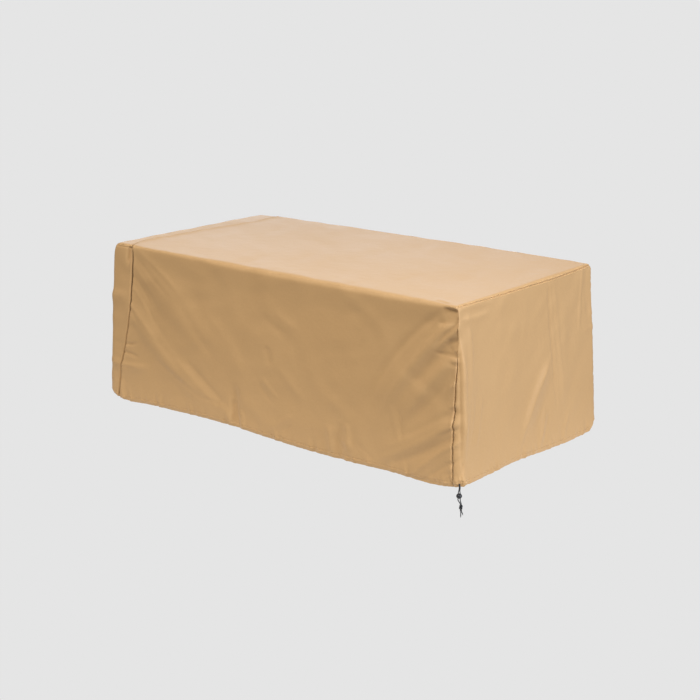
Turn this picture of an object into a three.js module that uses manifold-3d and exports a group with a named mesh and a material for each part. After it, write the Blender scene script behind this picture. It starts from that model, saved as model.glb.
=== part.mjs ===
// Fitted cover for a long, low fire pit table, in the shape in which it hangs on the table.
// Three cloth panels: one strip that runs up the front, over the top and down the back, and a
// panel on each end. The hem is drawn in by a cord whose two ends leave it at one corner, run
// through a ball lock and end in a knot. The cover is hollow and open at the bottom.
//
// Millimetres, +X along the cover, +Y to its back, +Z up. The origin is the middle of the face
// that the cover rests on: the underside of its top.
//
// How the cloth is made: each panel is a grid of places on a plain box. skin() carries a place
// on the box to the hanging cloth: it rounds the box's edges, stands the walls off and flares
// them, bends the hem line and adds the folds. Each grid is then given its thickness inwards.

import * as THREE from 'three';
import { mergeVertices } from 'three/addons/utils/BufferGeometryUtils.js';
import Module from 'manifold-3d';

const wasm = await Module();
wasm.setup();

// The box that the cover is cut for
const LENGTH = 1470;
const DEPTH = 755;
const DROP = 560;
const HALF_LENGTH = LENGTH / 2;
const HALF_DEPTH = DEPTH / 2;

// Cloth
const CLOTH = 2;
const LEFT_SEAM_GAP = 0.3;
const RIGHT_SEAM_GAP = 0.6;

// Edges: the upright corners grow rounder towards the hem, and the long top edges roll. The
// roll is full over a middle share of the half length and fades out over a further share.
const CORNER_RADIUS = 9;
const HEM_RADIUS = 27;
const EDGE_ROLL = { front: 12, back: 4 };
const ROLL_DEPTH = 90;
const ROLL_MIDDLE = 0.35;
const ROLL_FADE = 0.6;

// Walls: they stand off the table just under the top, and flare towards the hem
const STAND_OFF = { left: 17, right: 9, front: 5, back: 8 };
const STAND_OFF_DEPTH = 18;
const STAND_OFF_MARGIN = 60;
const FLARE = { left: 37, right: 29, front: 14, back: 18 };

// Hem: its casing is drawn in by the cord
const HEM_BAND = 26;
const HEM_CURL = 5;

// How far the top stands above the table at its corners, and more along the back edge
const TOP_LIFT = { frontLeft: 7, frontRight: 0.5, backLeft: 1.5, backRight: 5.5 };
const BACK_EDGE_LIFT = 5.5;

// The hem's drop below DROP, along each side from the front or the left
const HEM_LINE = {
  front: [
    { at: -735, drop: -17 },
    { at: -690, drop: 0 },
    { at: -560, drop: -2 },
    { at: -200, drop: -6 },
    { at: 40, drop: 6 },
    { at: 260, drop: 11 },
    { at: 500, drop: 7 },
    { at: 640, drop: 10 },
    { at: 735, drop: -1 },
  ],
  right: [
    { at: -377, drop: -1 },
    { at: -230, drop: -1 },
    { at: -100, drop: -5 },
    { at: 90, drop: 6 },
    { at: 280, drop: 11 },
    { at: 345, drop: 5 },
    { at: 377, drop: -17 },
  ],
  back: [
    { at: -735, drop: -5 },
    { at: -520, drop: 5 },
    { at: -150, drop: -3 },
    { at: 250, drop: 8 },
    { at: 600, drop: 4 },
    { at: 700, drop: -1 },
    { at: 735, drop: -17 },
  ],
  left: [
    { at: -377, drop: -17 },
    { at: -330, drop: -1 },
    { at: -60, drop: 7 },
    { at: 200, drop: 0 },
    { at: 377, drop: -5 },
  ],
};

// The left seam: its place along the length, on its way down the front, over the top and down
// the back. run is the distance from the front top edge, below it negative.
const LEFT_SEAM = [
  { run: -560, x: -697 },
  { run: -430, x: -689 },
  { run: -335, x: -674 },
  { run: -250, x: -664 },
  { run: -120, x: -661 },
  { run: 0, x: -662 },
  { run: 45, x: -679 },
  { run: 260, x: -678 },
  { run: 470, x: -662 },
  { run: 600, x: -639 },
  { run: 755, x: -650 },
  { run: 950, x: -655 },
  { run: 1315, x: -676 },
];

// The right seam: how far the end panel reaches round the corner onto the front and the back at
// each depth, and how far the top reaches down the end
const RIGHT_WRAP = {
  front: [
    { depth: 0, wrap: 1.5 },
    { depth: 41, wrap: 3 },
    { depth: 161, wrap: 8 },
    { depth: 284, wrap: 18 },
    { depth: 420, wrap: 24 },
    { depth: 560, wrap: 27 },
  ],
  back: [
    { depth: 0, wrap: 1.5 },
    { depth: 120, wrap: 3 },
    { depth: 560, wrap: 11 },
  ],
};
const TOP_SEAM_DROP = [
  { y: -377, drop: 1.5 },
  { y: -250, drop: 4 },
  { y: -40, drop: 7 },
  { y: 190, drop: 9 },
  { y: 377, drop: 4 },
];

// Main folds: soft ridges, or troughs where height is negative. Each runs from one place on its
// side to another and bows off the straight line between them. The first number of a place is
// along the side, the second is the height. A fold rises and dies away over the shares of its
// run in FOLD_START and FOLD_END.
const FOLDS = [
  { side: 'front', from: [-690, -185], to: [-200, -540], bow: -22, width: 34, height: 6.5 },
  { side: 'front', from: [-640, -120], to: [-330, -400], bow: -8, width: 42, height: -4 },
  { side: 'front', from: [-660, -30], to: [-250, -350], bow: -12, width: 38, height: 4.5 },
  { side: 'front', from: [-600, -35], to: [-40, -420], bow: -10, width: 46, height: 4 },
  { side: 'front', from: [-430, -80], to: [60, -470], bow: -15, width: 60, height: -3 },
  { side: 'front', from: [735, -52], to: [430, -390], bow: 26, width: 30, height: 6.5 },
  { side: 'front', from: [728, -105], to: [575, -275], bow: 8, width: 18, height: -4.5 },
  { side: 'front', from: [730, -150], to: [505, -400], bow: 14, width: 24, height: 4.5 },
  { side: 'front', from: [732, -250], to: [480, -470], bow: 16, width: 32, height: -4 },
  { side: 'front', from: [735, -350], to: [430, -520], bow: 12, width: 26, height: 5 },
  { side: 'front', from: [732, -445], to: [560, -545], bow: 6, width: 22, height: 3.5 },
  { side: 'front', from: [255, -450], to: [360, -550], bow: -4, width: 16, height: 3 },
  { side: 'front', from: [-225, -485], to: [-170, -550], bow: 2, width: 14, height: 3 },
  { side: 'right', from: [-334, -44], to: [-328, -480], bow: 8, width: 26, height: 7 },
  { side: 'right', from: [-365, -42], to: [-200, -46], bow: -5, width: 13, height: 3 },
  { side: 'right', from: [110, -270], to: [-45, -500], bow: 10, width: 22, height: 6 },
  { side: 'right', from: [150, -300], to: [20, -530], bow: 8, width: 26, height: -3.5 },
  { side: 'right', from: [85, -420], to: [40, -530], bow: 3, width: 16, height: 3.5 },
  { side: 'right', from: [215, -60], to: [190, -470], bow: 5, width: 26, height: 3 },
  { side: 'right', from: [-90, -60], to: [-130, -440], bow: -6, width: 44, height: 3 },
  { side: 'back', from: [690, -110], to: [250, -480], bow: 18, width: 40, height: 6 },
  { side: 'back', from: [640, -40], to: [60, -400], bow: 14, width: 48, height: 4 },
  { side: 'back', from: [-640, -70], to: [-260, -500], bow: -16, width: 38, height: 6 },
  { side: 'back', from: [-560, -40], to: [-60, -430], bow: -14, width: 50, height: 4 },
  { side: 'back', from: [-650, -280], to: [-420, -530], bow: -8, width: 30, height: 4.5 },
  { side: 'left', from: [-320, -50], to: [-60, -430], bow: -12, width: 36, height: 5 },
  { side: 'left', from: [300, -60], to: [110, -400], bow: 12, width: 34, height: 5 },
  { side: 'left', from: [-200, -250], to: [-90, -530], bow: -6, width: 28, height: 4 },
];
const FOLD_START = 0.22;
const FOLD_END = 0.35;

// Drawcord: two strands side by side out of a slit at the front right corner of the hem
const CORD = 2.8;
const CORD_SIDES = 8;
const CORD_STEPS = 20;
const SLIT_HEIGHT = 12;
const CORD_OUT = 6;
const LOCK_WIDTH = 18;
const LOCK_HEIGHT = 16.5;
const LOCK_DROP = 25.5;
const LOCK_SWAY = -3.2;
const LOCK_HOLE = 3.7;
const LOCK_HOLE_SPACING = 7;
const LOCK_SIDES = { around: 24, down: 14, hole: 12 };
const KNOT_WIDTH = 10;
const KNOT_WAIST = 9;
const KNOT_HEIGHT = 14;
const KNOT_DROP = 61.5;
const KNOT_SWAY = 2.6;
const KNOT_BORE = 6.8;
const KNOT_SHOULDER = 8.4;
const KNOT_SIDES = 14;
const KNOT_SWELL = { from: 2.1, to: 5 };
// The way out of the corner that the cord leaves by, and the way along the hem there
const CORNER_OUT = new THREE.Vector3(Math.SQRT1_2, -Math.SQRT1_2, 0);
const CORNER_ALONG = new THREE.Vector3(Math.SQRT1_2, Math.SQRT1_2, 0);
// The strands' way: drop below the hem, distance out from the slit, sway along the hem, and
// each strand's half of the distance between them
const STRAND_WAY = [
  { drop: -12, out: 1.4, sway: -2, half: 1.6 },
  { drop: -10, out: 3.2, sway: -2, half: 1.6 },
  { drop: -6.5, out: 4.9, sway: -2, half: 1.7 },
  { drop: -1.5, out: 5.8, sway: -2, half: 2 },
  { drop: 3.5, out: CORD_OUT, sway: -2.3, half: 2.5 },
  { drop: 8.5, out: CORD_OUT, sway: -2.9, half: 3.1 },
  { drop: 13.5, out: CORD_OUT, sway: LOCK_SWAY, half: LOCK_HOLE_SPACING / 2 },
  { drop: 20, out: CORD_OUT, sway: LOCK_SWAY, half: LOCK_HOLE_SPACING / 2 },
  { drop: 31, out: CORD_OUT, sway: LOCK_SWAY, half: LOCK_HOLE_SPACING / 2 },
  { drop: 38, out: CORD_OUT, sway: -3, half: 3.4 },
  { drop: 44, out: CORD_OUT, sway: -0.8, half: 2.4 },
  { drop: 50, out: CORD_OUT, sway: 1.8, half: 1.6 },
  { drop: 55.5, out: CORD_OUT, sway: KNOT_SWAY, half: 1.6 },
  { drop: 61.5, out: CORD_OUT, sway: KNOT_SWAY, half: 1.6 },
  { drop: 67.5, out: CORD_OUT, sway: KNOT_SWAY, half: 1.6 },
  { drop: 73, out: CORD_OUT, sway: 3.2, half: 1.6 },
  { drop: 78, out: CORD_OUT, sway: 4.3, half: 1.8 },
];
const STRAND_TIPS = {
  left: [
    { drop: 83, out: CORD_OUT, sway: 5, half: 2.2 },
    { drop: 88, out: CORD_OUT, sway: 5.2, half: 2.4 },
    { drop: 93, out: CORD_OUT, sway: 5.2, half: 2.5 },
  ],
  right: [
    { drop: 82, out: CORD_OUT, sway: 5.3, half: 2.3 },
    { drop: 86, out: CORD_OUT, sway: 6.3, half: 2.9 },
  ],
};

// Stations of the grids: places where the panels share their rows
const TOP_STATIONS = [0, 4, 9, 17, 30, 52];
const HEM_STATIONS = [HEM_BAND, HEM_BAND / 2, 0];
const WALL_STEPS = 10;
const EDGE_STATIONS = [0, 4, 9, 17, 32];
const DEPTH_STEPS = 10;
const LENGTH_STEPS = 27;
const SEAM_STRIP = 22;
const SEAM_STRIP_STEPS = 4;
const LEFT_STRIP_STEPS = 5;
const WRAP_STEPS = 3;

const ease = (t) => {
  const s = THREE.MathUtils.clamp(t, 0, 1);
  return s * s * (3 - 2 * s);
};

// A table's value at a place: an eased step from each row to the next
function fromTable(rows, key, column, place) {
  const last = rows.length - 1;
  if (place <= rows[0][key]) return rows[0][column];
  if (place >= rows[last][key]) return rows[last][column];
  const next = rows.findIndex((row) => row[key] > place);
  const low = rows[next - 1];
  const high = rows[next];
  const share = ease((place - low[key]) / (high[key] - low[key]));
  return low[column] + (high[column] - low[column]) * share;
}

// How squarely a direction faces each side: the five shares add up to 1
function facing(direction) {
  const { x, y, z } = direction;
  return {
    right: x > 0 ? x * x : 0,
    left: x < 0 ? x * x : 0,
    back: y > 0 ? y * y : 0,
    front: y < 0 ? y * y : 0,
    top: z * z,
  };
}

// A fold's rise at a place on its side: a bell across the fold, eased in and out along it. The
// fold's line bows up where bow is positive, or along the side where the fold is upright.
function foldRise(fold, along, up) {
  const runAlong = fold.to[0] - fold.from[0];
  const runUp = fold.to[1] - fold.from[1];
  const reach = Math.hypot(runAlong, runUp);
  const toAlong = along - fold.from[0];
  const toUp = up - fold.from[1];
  const t = (toAlong * runAlong + toUp * runUp) / reach ** 2;
  if (t <= 0 || t >= 1) return 0;
  const off = (Math.sign(runAlong) * (runAlong * toUp - runUp * toAlong)) / reach;
  const beside = (off - fold.bow * 4 * t * (1 - t)) / fold.width;
  return fold.height * ease(t / FOLD_START) * ease((1 - t) / FOLD_END) * Math.exp(-(beside ** 2));
}

// The cloth's outer face over one place on the box, and the way out of it
function skin(place) {
  const { x, y, z } = place;
  const sink = -z / DROP;
  const midLength = 1 - ease((Math.abs(x) / HALF_LENGTH - ROLL_MIDDLE) / ROLL_FADE);
  const fullRoll = y < 0 ? EDGE_ROLL.front : EDGE_ROLL.back;
  const roll = fullRoll * midLength * (1 - ease(-z / ROLL_DEPTH));
  const upright = THREE.MathUtils.lerp(CORNER_RADIUS, HEM_RADIUS, sink);
  const radius = new THREE.Vector3(upright, upright + roll, CORNER_RADIUS + roll);
  const core = new THREE.Vector3(
    THREE.MathUtils.clamp(x, radius.x - HALF_LENGTH, HALF_LENGTH - radius.x),
    THREE.MathUtils.clamp(y, radius.y - HALF_DEPTH, HALF_DEPTH - radius.y),
    Math.min(z, -radius.z),
  );
  const out = new THREE.Vector3(x, y, z).sub(core).divide(radius).normalize();
  const point = out.clone().multiply(radius).add(core);
  const share = facing(out);

  // walls
  const depth = Math.max(0, -point.z);
  const puff = 1 - Math.exp(-depth / STAND_OFF_DEPTH);
  const nearEnd = ease((Math.abs(x) - HALF_LENGTH + STAND_OFF_MARGIN) / STAND_OFF_MARGIN);
  const nearSide = ease((Math.abs(y) - HALF_DEPTH + STAND_OFF_MARGIN) / STAND_OFF_MARGIN);
  const endSide = x < 0 ? 'left' : 'right';
  const longSide = y < 0 ? 'front' : 'back';
  point.x *= 1 + (FLARE[endSide] * depth) / DROP / HALF_LENGTH;
  point.y *= 1 + (FLARE[longSide] * depth) / DROP / HALF_DEPTH;
  point.x += Math.sign(x) * puff * nearEnd * STAND_OFF[endSide];
  point.y += Math.sign(y) * puff * nearSide * STAND_OFF[longSide];

  // top
  const toRight = (x + HALF_LENGTH) / LENGTH;
  const toBack = (y + HALF_DEPTH) / DEPTH;
  const frontLift = THREE.MathUtils.lerp(TOP_LIFT.frontLeft, TOP_LIFT.frontRight, toRight);
  const backLift = THREE.MathUtils.lerp(TOP_LIFT.backLeft, TOP_LIFT.backRight, toRight)
    + BACK_EDGE_LIFT * (1 - (2 * toRight - 1) ** 4);
  point.z += CLOTH + THREE.MathUtils.lerp(frontLift, backLift, toBack ** 2) * (1 - sink);

  // hem
  const dropped = share.front * fromTable(HEM_LINE.front, 'at', 'drop', x)
    + share.back * fromTable(HEM_LINE.back, 'at', 'drop', x)
    + share.right * fromTable(HEM_LINE.right, 'at', 'drop', y)
    + share.left * fromTable(HEM_LINE.left, 'at', 'drop', y);
  point.z -= dropped * sink ** 2;
  let rise = -HEM_CURL * ease((HEM_BAND - (DROP + z)) / HEM_BAND) ** 2;

  // folds
  for (const fold of FOLDS) {
    const along = fold.side === 'left' || fold.side === 'right' ? y : x;
    rise += share[fold.side] * foldRise(fold, along, z);
  }
  return { outer: point.addScaledVector(out, rise), out };
}

// A closed solid from grids of places: outer face, inner face one cloth thickness inwards, and
// a rim along every free edge. Places that two grids share become one.
function clothSolid(grids) {
  const placeIndex = new Map();
  const outer = [];
  const inner = [];
  const indexOf = (place) => {
    const key = place.toArray().map((value) => value.toFixed(4)).join();
    if (!placeIndex.has(key)) {
      const cloth = skin(place);
      placeIndex.set(key, outer.length);
      outer.push(cloth.outer);
      inner.push(cloth.outer.clone().addScaledVector(cloth.out, -CLOTH));
    }
    return placeIndex.get(key);
  };
  const faces = [];
  for (const grid of grids) {
    for (let row = 0; row + 1 < grid.length; row += 1) {
      for (let column = 0; column + 1 < grid[row].length; column += 1) {
        const a = indexOf(grid[row][column]);
        const b = indexOf(grid[row][column + 1]);
        const c = indexOf(grid[row + 1][column + 1]);
        const d = indexOf(grid[row + 1][column]);
        const leftHalf = 2 * column < grid[row].length;
        const lowerHalf = 2 * row < grid.length;
        if (leftHalf === lowerHalf) faces.push([a, b, d], [b, c, d]);
        else faces.push([a, b, c], [a, c, d]);
      }
    }
  }
  const count = outer.length;
  const used = new Set(faces.flatMap(([a, b, c]) => [`${a},${b}`, `${b},${c}`, `${c},${a}`]));
  const triangles = [];
  for (const [a, b, c] of faces) {
    triangles.push(a, b, c, a + count, c + count, b + count);
    for (const [start, end] of [[a, b], [b, c], [c, a]]) {
      if (used.has(`${end},${start}`)) continue;
      triangles.push(start, start + count, end, end, start + count, end + count);
    }
  }
  const geometry = new THREE.BufferGeometry().setFromPoints([...outer, ...inner]);
  geometry.setIndex(triangles);
  geometry.computeVertexNormals();
  return geometry;
}

// Stations down a wall, from the hem to the top edge, as heights on the box
function wallHeights() {
  const low = HEM_BAND;
  const high = DROP - TOP_STATIONS[TOP_STATIONS.length - 1];
  const middle = [];
  for (let step = 1; step < WALL_STEPS; step += 1) {
    middle.push(low + ((high - low) * step) / WALL_STEPS);
  }
  const fromHem = [...HEM_STATIONS].reverse();
  const nearTop = [...TOP_STATIONS].reverse().map((depth) => DROP - depth);
  return [...fromHem, ...middle, ...nearTop].map((height) => height - DROP);
}

// Stations from the front edge of the top to its back edge
function depthPlaces() {
  const margin = EDGE_STATIONS[EDGE_STATIONS.length - 1];
  const middle = [];
  for (let step = 1; step < DEPTH_STEPS; step += 1) {
    middle.push(margin + ((DEPTH - 2 * margin) * step) / DEPTH_STEPS);
  }
  const front = [...EDGE_STATIONS];
  const back = [...EDGE_STATIONS].reverse().map((inset) => DEPTH - inset);
  return [...front, ...middle, ...back].map((place) => place - HALF_DEPTH);
}

const HEIGHTS = wallHeights();
const DEPTHS = depthPlaces();

const leftSeam = (run) => fromTable(LEFT_SEAM, 'run', 'x', run);
const frontWrap = (z) => fromTable(RIGHT_WRAP.front, 'depth', 'wrap', -z);
const backWrap = (z) => fromTable(RIGHT_WRAP.back, 'depth', 'wrap', -z);
const topSeamDrop = (y) => fromTable(TOP_SEAM_DROP, 'y', 'drop', y);

// One row of the main panel, from its left seam to its right seam. toPlace turns the distance
// along the cover into a place on the box.
function mainRow(seamLeft, seamRight, toPlace) {
  const start = seamLeft + LEFT_SEAM_GAP / 2;
  const end = seamRight - RIGHT_SEAM_GAP / 2;
  const strip = end - SEAM_STRIP;
  const row = [];
  for (let step = 0; step < LENGTH_STEPS; step += 1) {
    row.push(toPlace(start + ((strip - start) * step) / LENGTH_STEPS));
  }
  for (let step = 0; step <= SEAM_STRIP_STEPS; step += 1) {
    row.push(toPlace(strip + (SEAM_STRIP * step) / SEAM_STRIP_STEPS));
  }
  return row;
}

function mainPanel() {
  const front = HEIGHTS.map((z) => mainRow(leftSeam(z), HALF_LENGTH - frontWrap(z),
    (x) => new THREE.Vector3(x, -HALF_DEPTH, z)));
  const top = DEPTHS.map((y) => mainRow(leftSeam(y + HALF_DEPTH), HALF_LENGTH + topSeamDrop(y),
    (x) => new THREE.Vector3(Math.min(x, HALF_LENGTH), y, Math.min(0, HALF_LENGTH - x))));
  const back = [...HEIGHTS].reverse().map((z) => mainRow(leftSeam(DEPTH - z),
    HALF_LENGTH - backWrap(z), (x) => new THREE.Vector3(x, HALF_DEPTH, z)));
  return clothSolid([[...front, ...top.slice(1, -1), ...back]]);
}

// The right end panel: round the front corner, across the end and round the back corner. Its
// top edge follows the seam below the top.
function rightEndPanel() {
  const inset = RIGHT_SEAM_GAP / 2;
  const margin = TOP_STATIONS[TOP_STATIONS.length - 1];
  const below = (z, drop) => z - (drop + inset) * Math.max(0, 1 + z / margin);
  const rows = HEIGHTS.map((z) => {
    const frontPart = [];
    const backPart = [];
    for (let step = 0; step < WRAP_STEPS; step += 1) {
      const share = 1 - step / WRAP_STEPS;
      const front = (frontWrap(z) - inset) * share;
      const back = (backWrap(z) - inset) * share;
      frontPart.push(new THREE.Vector3(HALF_LENGTH - front, -HALF_DEPTH, below(z, 0)));
      backPart.unshift(new THREE.Vector3(HALF_LENGTH - back, HALF_DEPTH, below(z, 0)));
    }
    const endPart = DEPTHS.map((y) => new THREE.Vector3(HALF_LENGTH, y, below(z, topSeamDrop(y))));
    return [...frontPart, ...endPart, ...backPart];
  });
  return clothSolid([rows]);
}

// The left end panel: round both corners and over the top edge, with a dart along each short
// piece of top edge between its corner and the seam
function leftEndPanel() {
  const inset = LEFT_SEAM_GAP / 2;
  const strip = (seam, toPlace) => {
    const row = [];
    for (let step = 0; step <= LEFT_STRIP_STEPS; step += 1) {
      const share = step / LEFT_STRIP_STEPS;
      row.push(toPlace(-HALF_LENGTH + (seam - inset + HALF_LENGTH) * share));
    }
    return row;
  };
  const walls = HEIGHTS.map((z) => {
    const back = strip(leftSeam(DEPTH - z), (x) => new THREE.Vector3(x, HALF_DEPTH, z)).reverse();
    const end = [...DEPTHS].reverse().map((y) => new THREE.Vector3(-HALF_LENGTH, y, z));
    const front = strip(leftSeam(z), (x) => new THREE.Vector3(x, -HALF_DEPTH, z));
    return [...back, ...end.slice(1, -1), ...front];
  });
  const top = DEPTHS.map((y) => strip(leftSeam(y + HALF_DEPTH),
    (x) => new THREE.Vector3(x, y, 0)));
  return clothSolid([walls, top]);
}

const slit = skin(new THREE.Vector3(HALF_LENGTH, -HALF_DEPTH, SLIT_HEIGHT - DROP)).outer;

// A place on the cord's way, to one side of its middle line
function cordPlace({ drop, out, sway }, aside) {
  const place = slit.clone().addScaledVector(CORNER_OUT, out);
  place.addScaledVector(CORNER_ALONG, sway + aside);
  place.z -= drop + SLIT_HEIGHT;
  return place;
}

function merged(geometry) {
  geometry.deleteAttribute('normal');
  geometry.deleteAttribute('uv');
  return mergeVertices(geometry, 1e-4);
}

function strand(side) {
  const sign = side === 'left' ? -1 : 1;
  const way = [...STRAND_WAY, ...STRAND_TIPS[side]];
  const path = new THREE.CatmullRomCurve3(way.map((step) => cordPlace(step, sign * step.half)));
  const section = new THREE.Shape();
  for (let corner = 0; corner < CORD_SIDES; corner += 1) {
    const angle = (2 * Math.PI * corner) / CORD_SIDES;
    const x = (CORD / 2) * Math.cos(angle);
    const y = (CORD / 2) * Math.sin(angle);
    if (corner === 0) section.moveTo(x, y);
    else section.lineTo(x, y);
  }
  const settings = { steps: CORD_STEPS, bevelEnabled: false, extrudePath: path };
  return merged(new THREE.ExtrudeGeometry(section, settings));
}

function toManifold(geometry) {
  const vertProperties = Float32Array.from(geometry.getAttribute('position').array);
  const triVerts = Uint32Array.from(geometry.getIndex().array);
  return new wasm.Manifold(new wasm.Mesh({ numProp: 3, vertProperties, triVerts }));
}

function fromManifold(solid) {
  const mesh = solid.getMesh();
  const geometry = new THREE.BufferGeometry();
  geometry.setAttribute('position', new THREE.BufferAttribute(mesh.vertProperties, 3));
  geometry.setIndex(new THREE.BufferAttribute(mesh.triVerts, 1));
  return geometry;
}

// The ball lock about its own middle: a squat ball with an upright hole for each strand
function cordLock() {
  const ball = new THREE.SphereGeometry(LOCK_WIDTH / 2, LOCK_SIDES.around, LOCK_SIDES.down);
  ball.rotateX(Math.PI / 2);
  ball.scale(1, 1, LOCK_HEIGHT / LOCK_WIDTH);
  let solid = toManifold(merged(ball));
  for (const sign of [-1, 1]) {
    const bore = new THREE.CylinderGeometry(
      LOCK_HOLE / 2, LOCK_HOLE / 2, LOCK_WIDTH, LOCK_SIDES.hole,
    );
    const aside = CORNER_ALONG.clone().multiplyScalar((sign * LOCK_HOLE_SPACING) / 2);
    bore.rotateX(Math.PI / 2).translate(aside.x, aside.y, 0);
    solid = solid.subtract(toManifold(merged(bore)));
  }
  return fromManifold(solid);
}

// The knot about its own middle: two wraps round both strands, with a waist between them
function cordKnot() {
  const end = KNOT_HEIGHT / 2;
  const upper = [
    [KNOT_WAIST, 0],
    [KNOT_WIDTH, KNOT_SWELL.from],
    [KNOT_WIDTH, KNOT_SWELL.to],
    [KNOT_SHOULDER, end],
    [KNOT_BORE, end],
  ];
  const lower = upper.slice(1).reverse().map(([width, height]) => [width, -height]);
  const profile = [...lower, ...upper, lower[0]].map(
    ([width, height]) => new THREE.Vector2(width / 2, height),
  );
  return merged(new THREE.LatheGeometry(profile, KNOT_SIDES).rotateX(Math.PI / 2));
}

const clothFinish = { color: 0xcba878, roughness: 0.62, metalness: 0 };
const cordFinish = { color: 0x1b1b1d, roughness: 0.85, metalness: 0 };
const lockFinish = { color: 0x121214, roughness: 0.42, metalness: 0 };

function piece(name, geometry, finish) {
  const mesh = new THREE.Mesh(geometry, new THREE.MeshStandardMaterial(finish));
  mesh.name = name;
  return mesh;
}

const cover = new THREE.Group();
cover.add(piece('main_panel', mainPanel(), clothFinish));
cover.add(piece('left_end_panel', leftEndPanel(), clothFinish));
cover.add(piece('right_end_panel', rightEndPanel(), clothFinish));
cover.add(piece('drawcord_left', strand('left'), cordFinish));
cover.add(piece('drawcord_right', strand('right'), cordFinish));

const lock = piece('cord_lock', cordLock(), lockFinish);
lock.position.copy(cordPlace({ drop: LOCK_DROP, out: CORD_OUT, sway: LOCK_SWAY }, 0));
cover.add(lock);

const knot = piece('cord_knot', cordKnot(), cordFinish);
knot.position.copy(cordPlace({ drop: KNOT_DROP, out: CORD_OUT, sway: KNOT_SWAY }, 0));
cover.add(knot);

export default cover;
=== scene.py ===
"""Fire pit table cover: the looks of its cloth, seams, hem and drawcord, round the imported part.

Shapes are worked out in millimetres in the part's frame: +X along the cover, +Y to its back, +Z up,
with the origin in the middle of the face that the cover rests on. They go into Blender in metres.

Each cloth panel is a sheet of places on the plain box that the cover is cut for. skin() carries a
place on the box to the hanging cloth, nearly as in the solids, and the panels add what is finer:
seams, puckers, the hem's casing and small creases.
"""

import math

import bpy
import numpy as np
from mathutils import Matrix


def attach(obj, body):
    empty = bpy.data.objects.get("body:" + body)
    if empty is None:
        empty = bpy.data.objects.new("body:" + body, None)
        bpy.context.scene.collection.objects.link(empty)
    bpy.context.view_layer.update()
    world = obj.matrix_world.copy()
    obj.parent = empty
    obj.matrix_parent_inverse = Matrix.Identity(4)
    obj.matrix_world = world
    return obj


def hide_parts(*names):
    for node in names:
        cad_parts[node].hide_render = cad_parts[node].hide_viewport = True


MM = 0.001
TURN = 2 * math.pi

# The box that the cover is cut for
LENGTH = 1470
DEPTH = 755
DROP = 560
HALF_LENGTH = LENGTH / 2
HALF_DEPTH = DEPTH / 2

# Cloth
CLOTH = 2
# Inside a seam, the panels' edges run past each other by this
SEAM_OVERLAP = 0.8

# Edges: the upright corners grow rounder towards the hem, and the long top edges roll, most about
# ROLL_CENTRE along them
CORNER_RADIUS = 9
HEM_RADIUS = 27
EDGE_ROLL = {"front": 10, "back": 4}
ROLL_CENTRE = {"front": 160, "back": 0}
ROLL_DEPTH = 90
ROLL_MIDDLE = 0.35
ROLL_FADE = 0.6

# Walls: they stand off just under the top, and flare towards the hem
STAND_OFF = {"left": 17, "right": 9, "front": 5, "back": 8}
STAND_OFF_DEPTH = 18
STAND_OFF_MARGIN = 60
FLARE = {"left": 37, "right": 29, "front": 14, "back": 18}

# Hem
HEM_BAND = 26
HEM_CURL = 5

# The way that each side faces: (axis, direction)
SIDES = {"right": (0, 1), "left": (0, -1), "back": (1, 1), "front": (1, -1), "top": (2, 1)}

# How far the top lifts at its corners, and more along the back edge
TOP_LIFT = {"front_left": 7, "front_right": 0.5, "back_left": 1.5, "back_right": 5.5}
BACK_EDGE_LIFT = 5.5

# The hem's drop below DROP along each side: (place along the side, drop)
HEM_LINE = {
    "front": [
        (-735, -17), (-690, 0), (-560, -2), (-200, -6), (40, 6), (260, 11), (500, 7), (640, 10), (735, -1),
    ],
    "right": [(-377, -1), (-230, -1), (-100, -5), (90, 6), (280, 11), (345, 5), (377, -17)],
    "back": [(-735, -5), (-520, 5), (-150, -3), (250, 8), (600, 4), (700, -1), (735, -17)],
    "left": [(-377, -17), (-330, -1), (-60, 7), (200, 0), (377, -5)],
}

# The left seam: (run, x), where run is the distance from the front top edge over the cover
LEFT_SEAM = [
    (-560, -697), (-430, -689), (-335, -674), (-250, -661), (-120, -656), (0, -658), (45, -677),
    (260, -678), (470, -662), (600, -639), (755, -650), (950, -655), (1315, -676),
]

# The right seam: (depth, how far the end panel reaches round the corner), and (y, how far the
# top reaches down the end)
FRONT_WRAP = [(0, 1.5), (41, 3), (161, 8), (284, 18), (420, 24), (560, 27)]
BACK_WRAP = [(0, 1.5), (120, 3), (560, 11)]
TOP_SEAM_DROP = [(-377, 1.5), (-250, 4), (-40, 7), (190, 9), (377, 4)]

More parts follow.
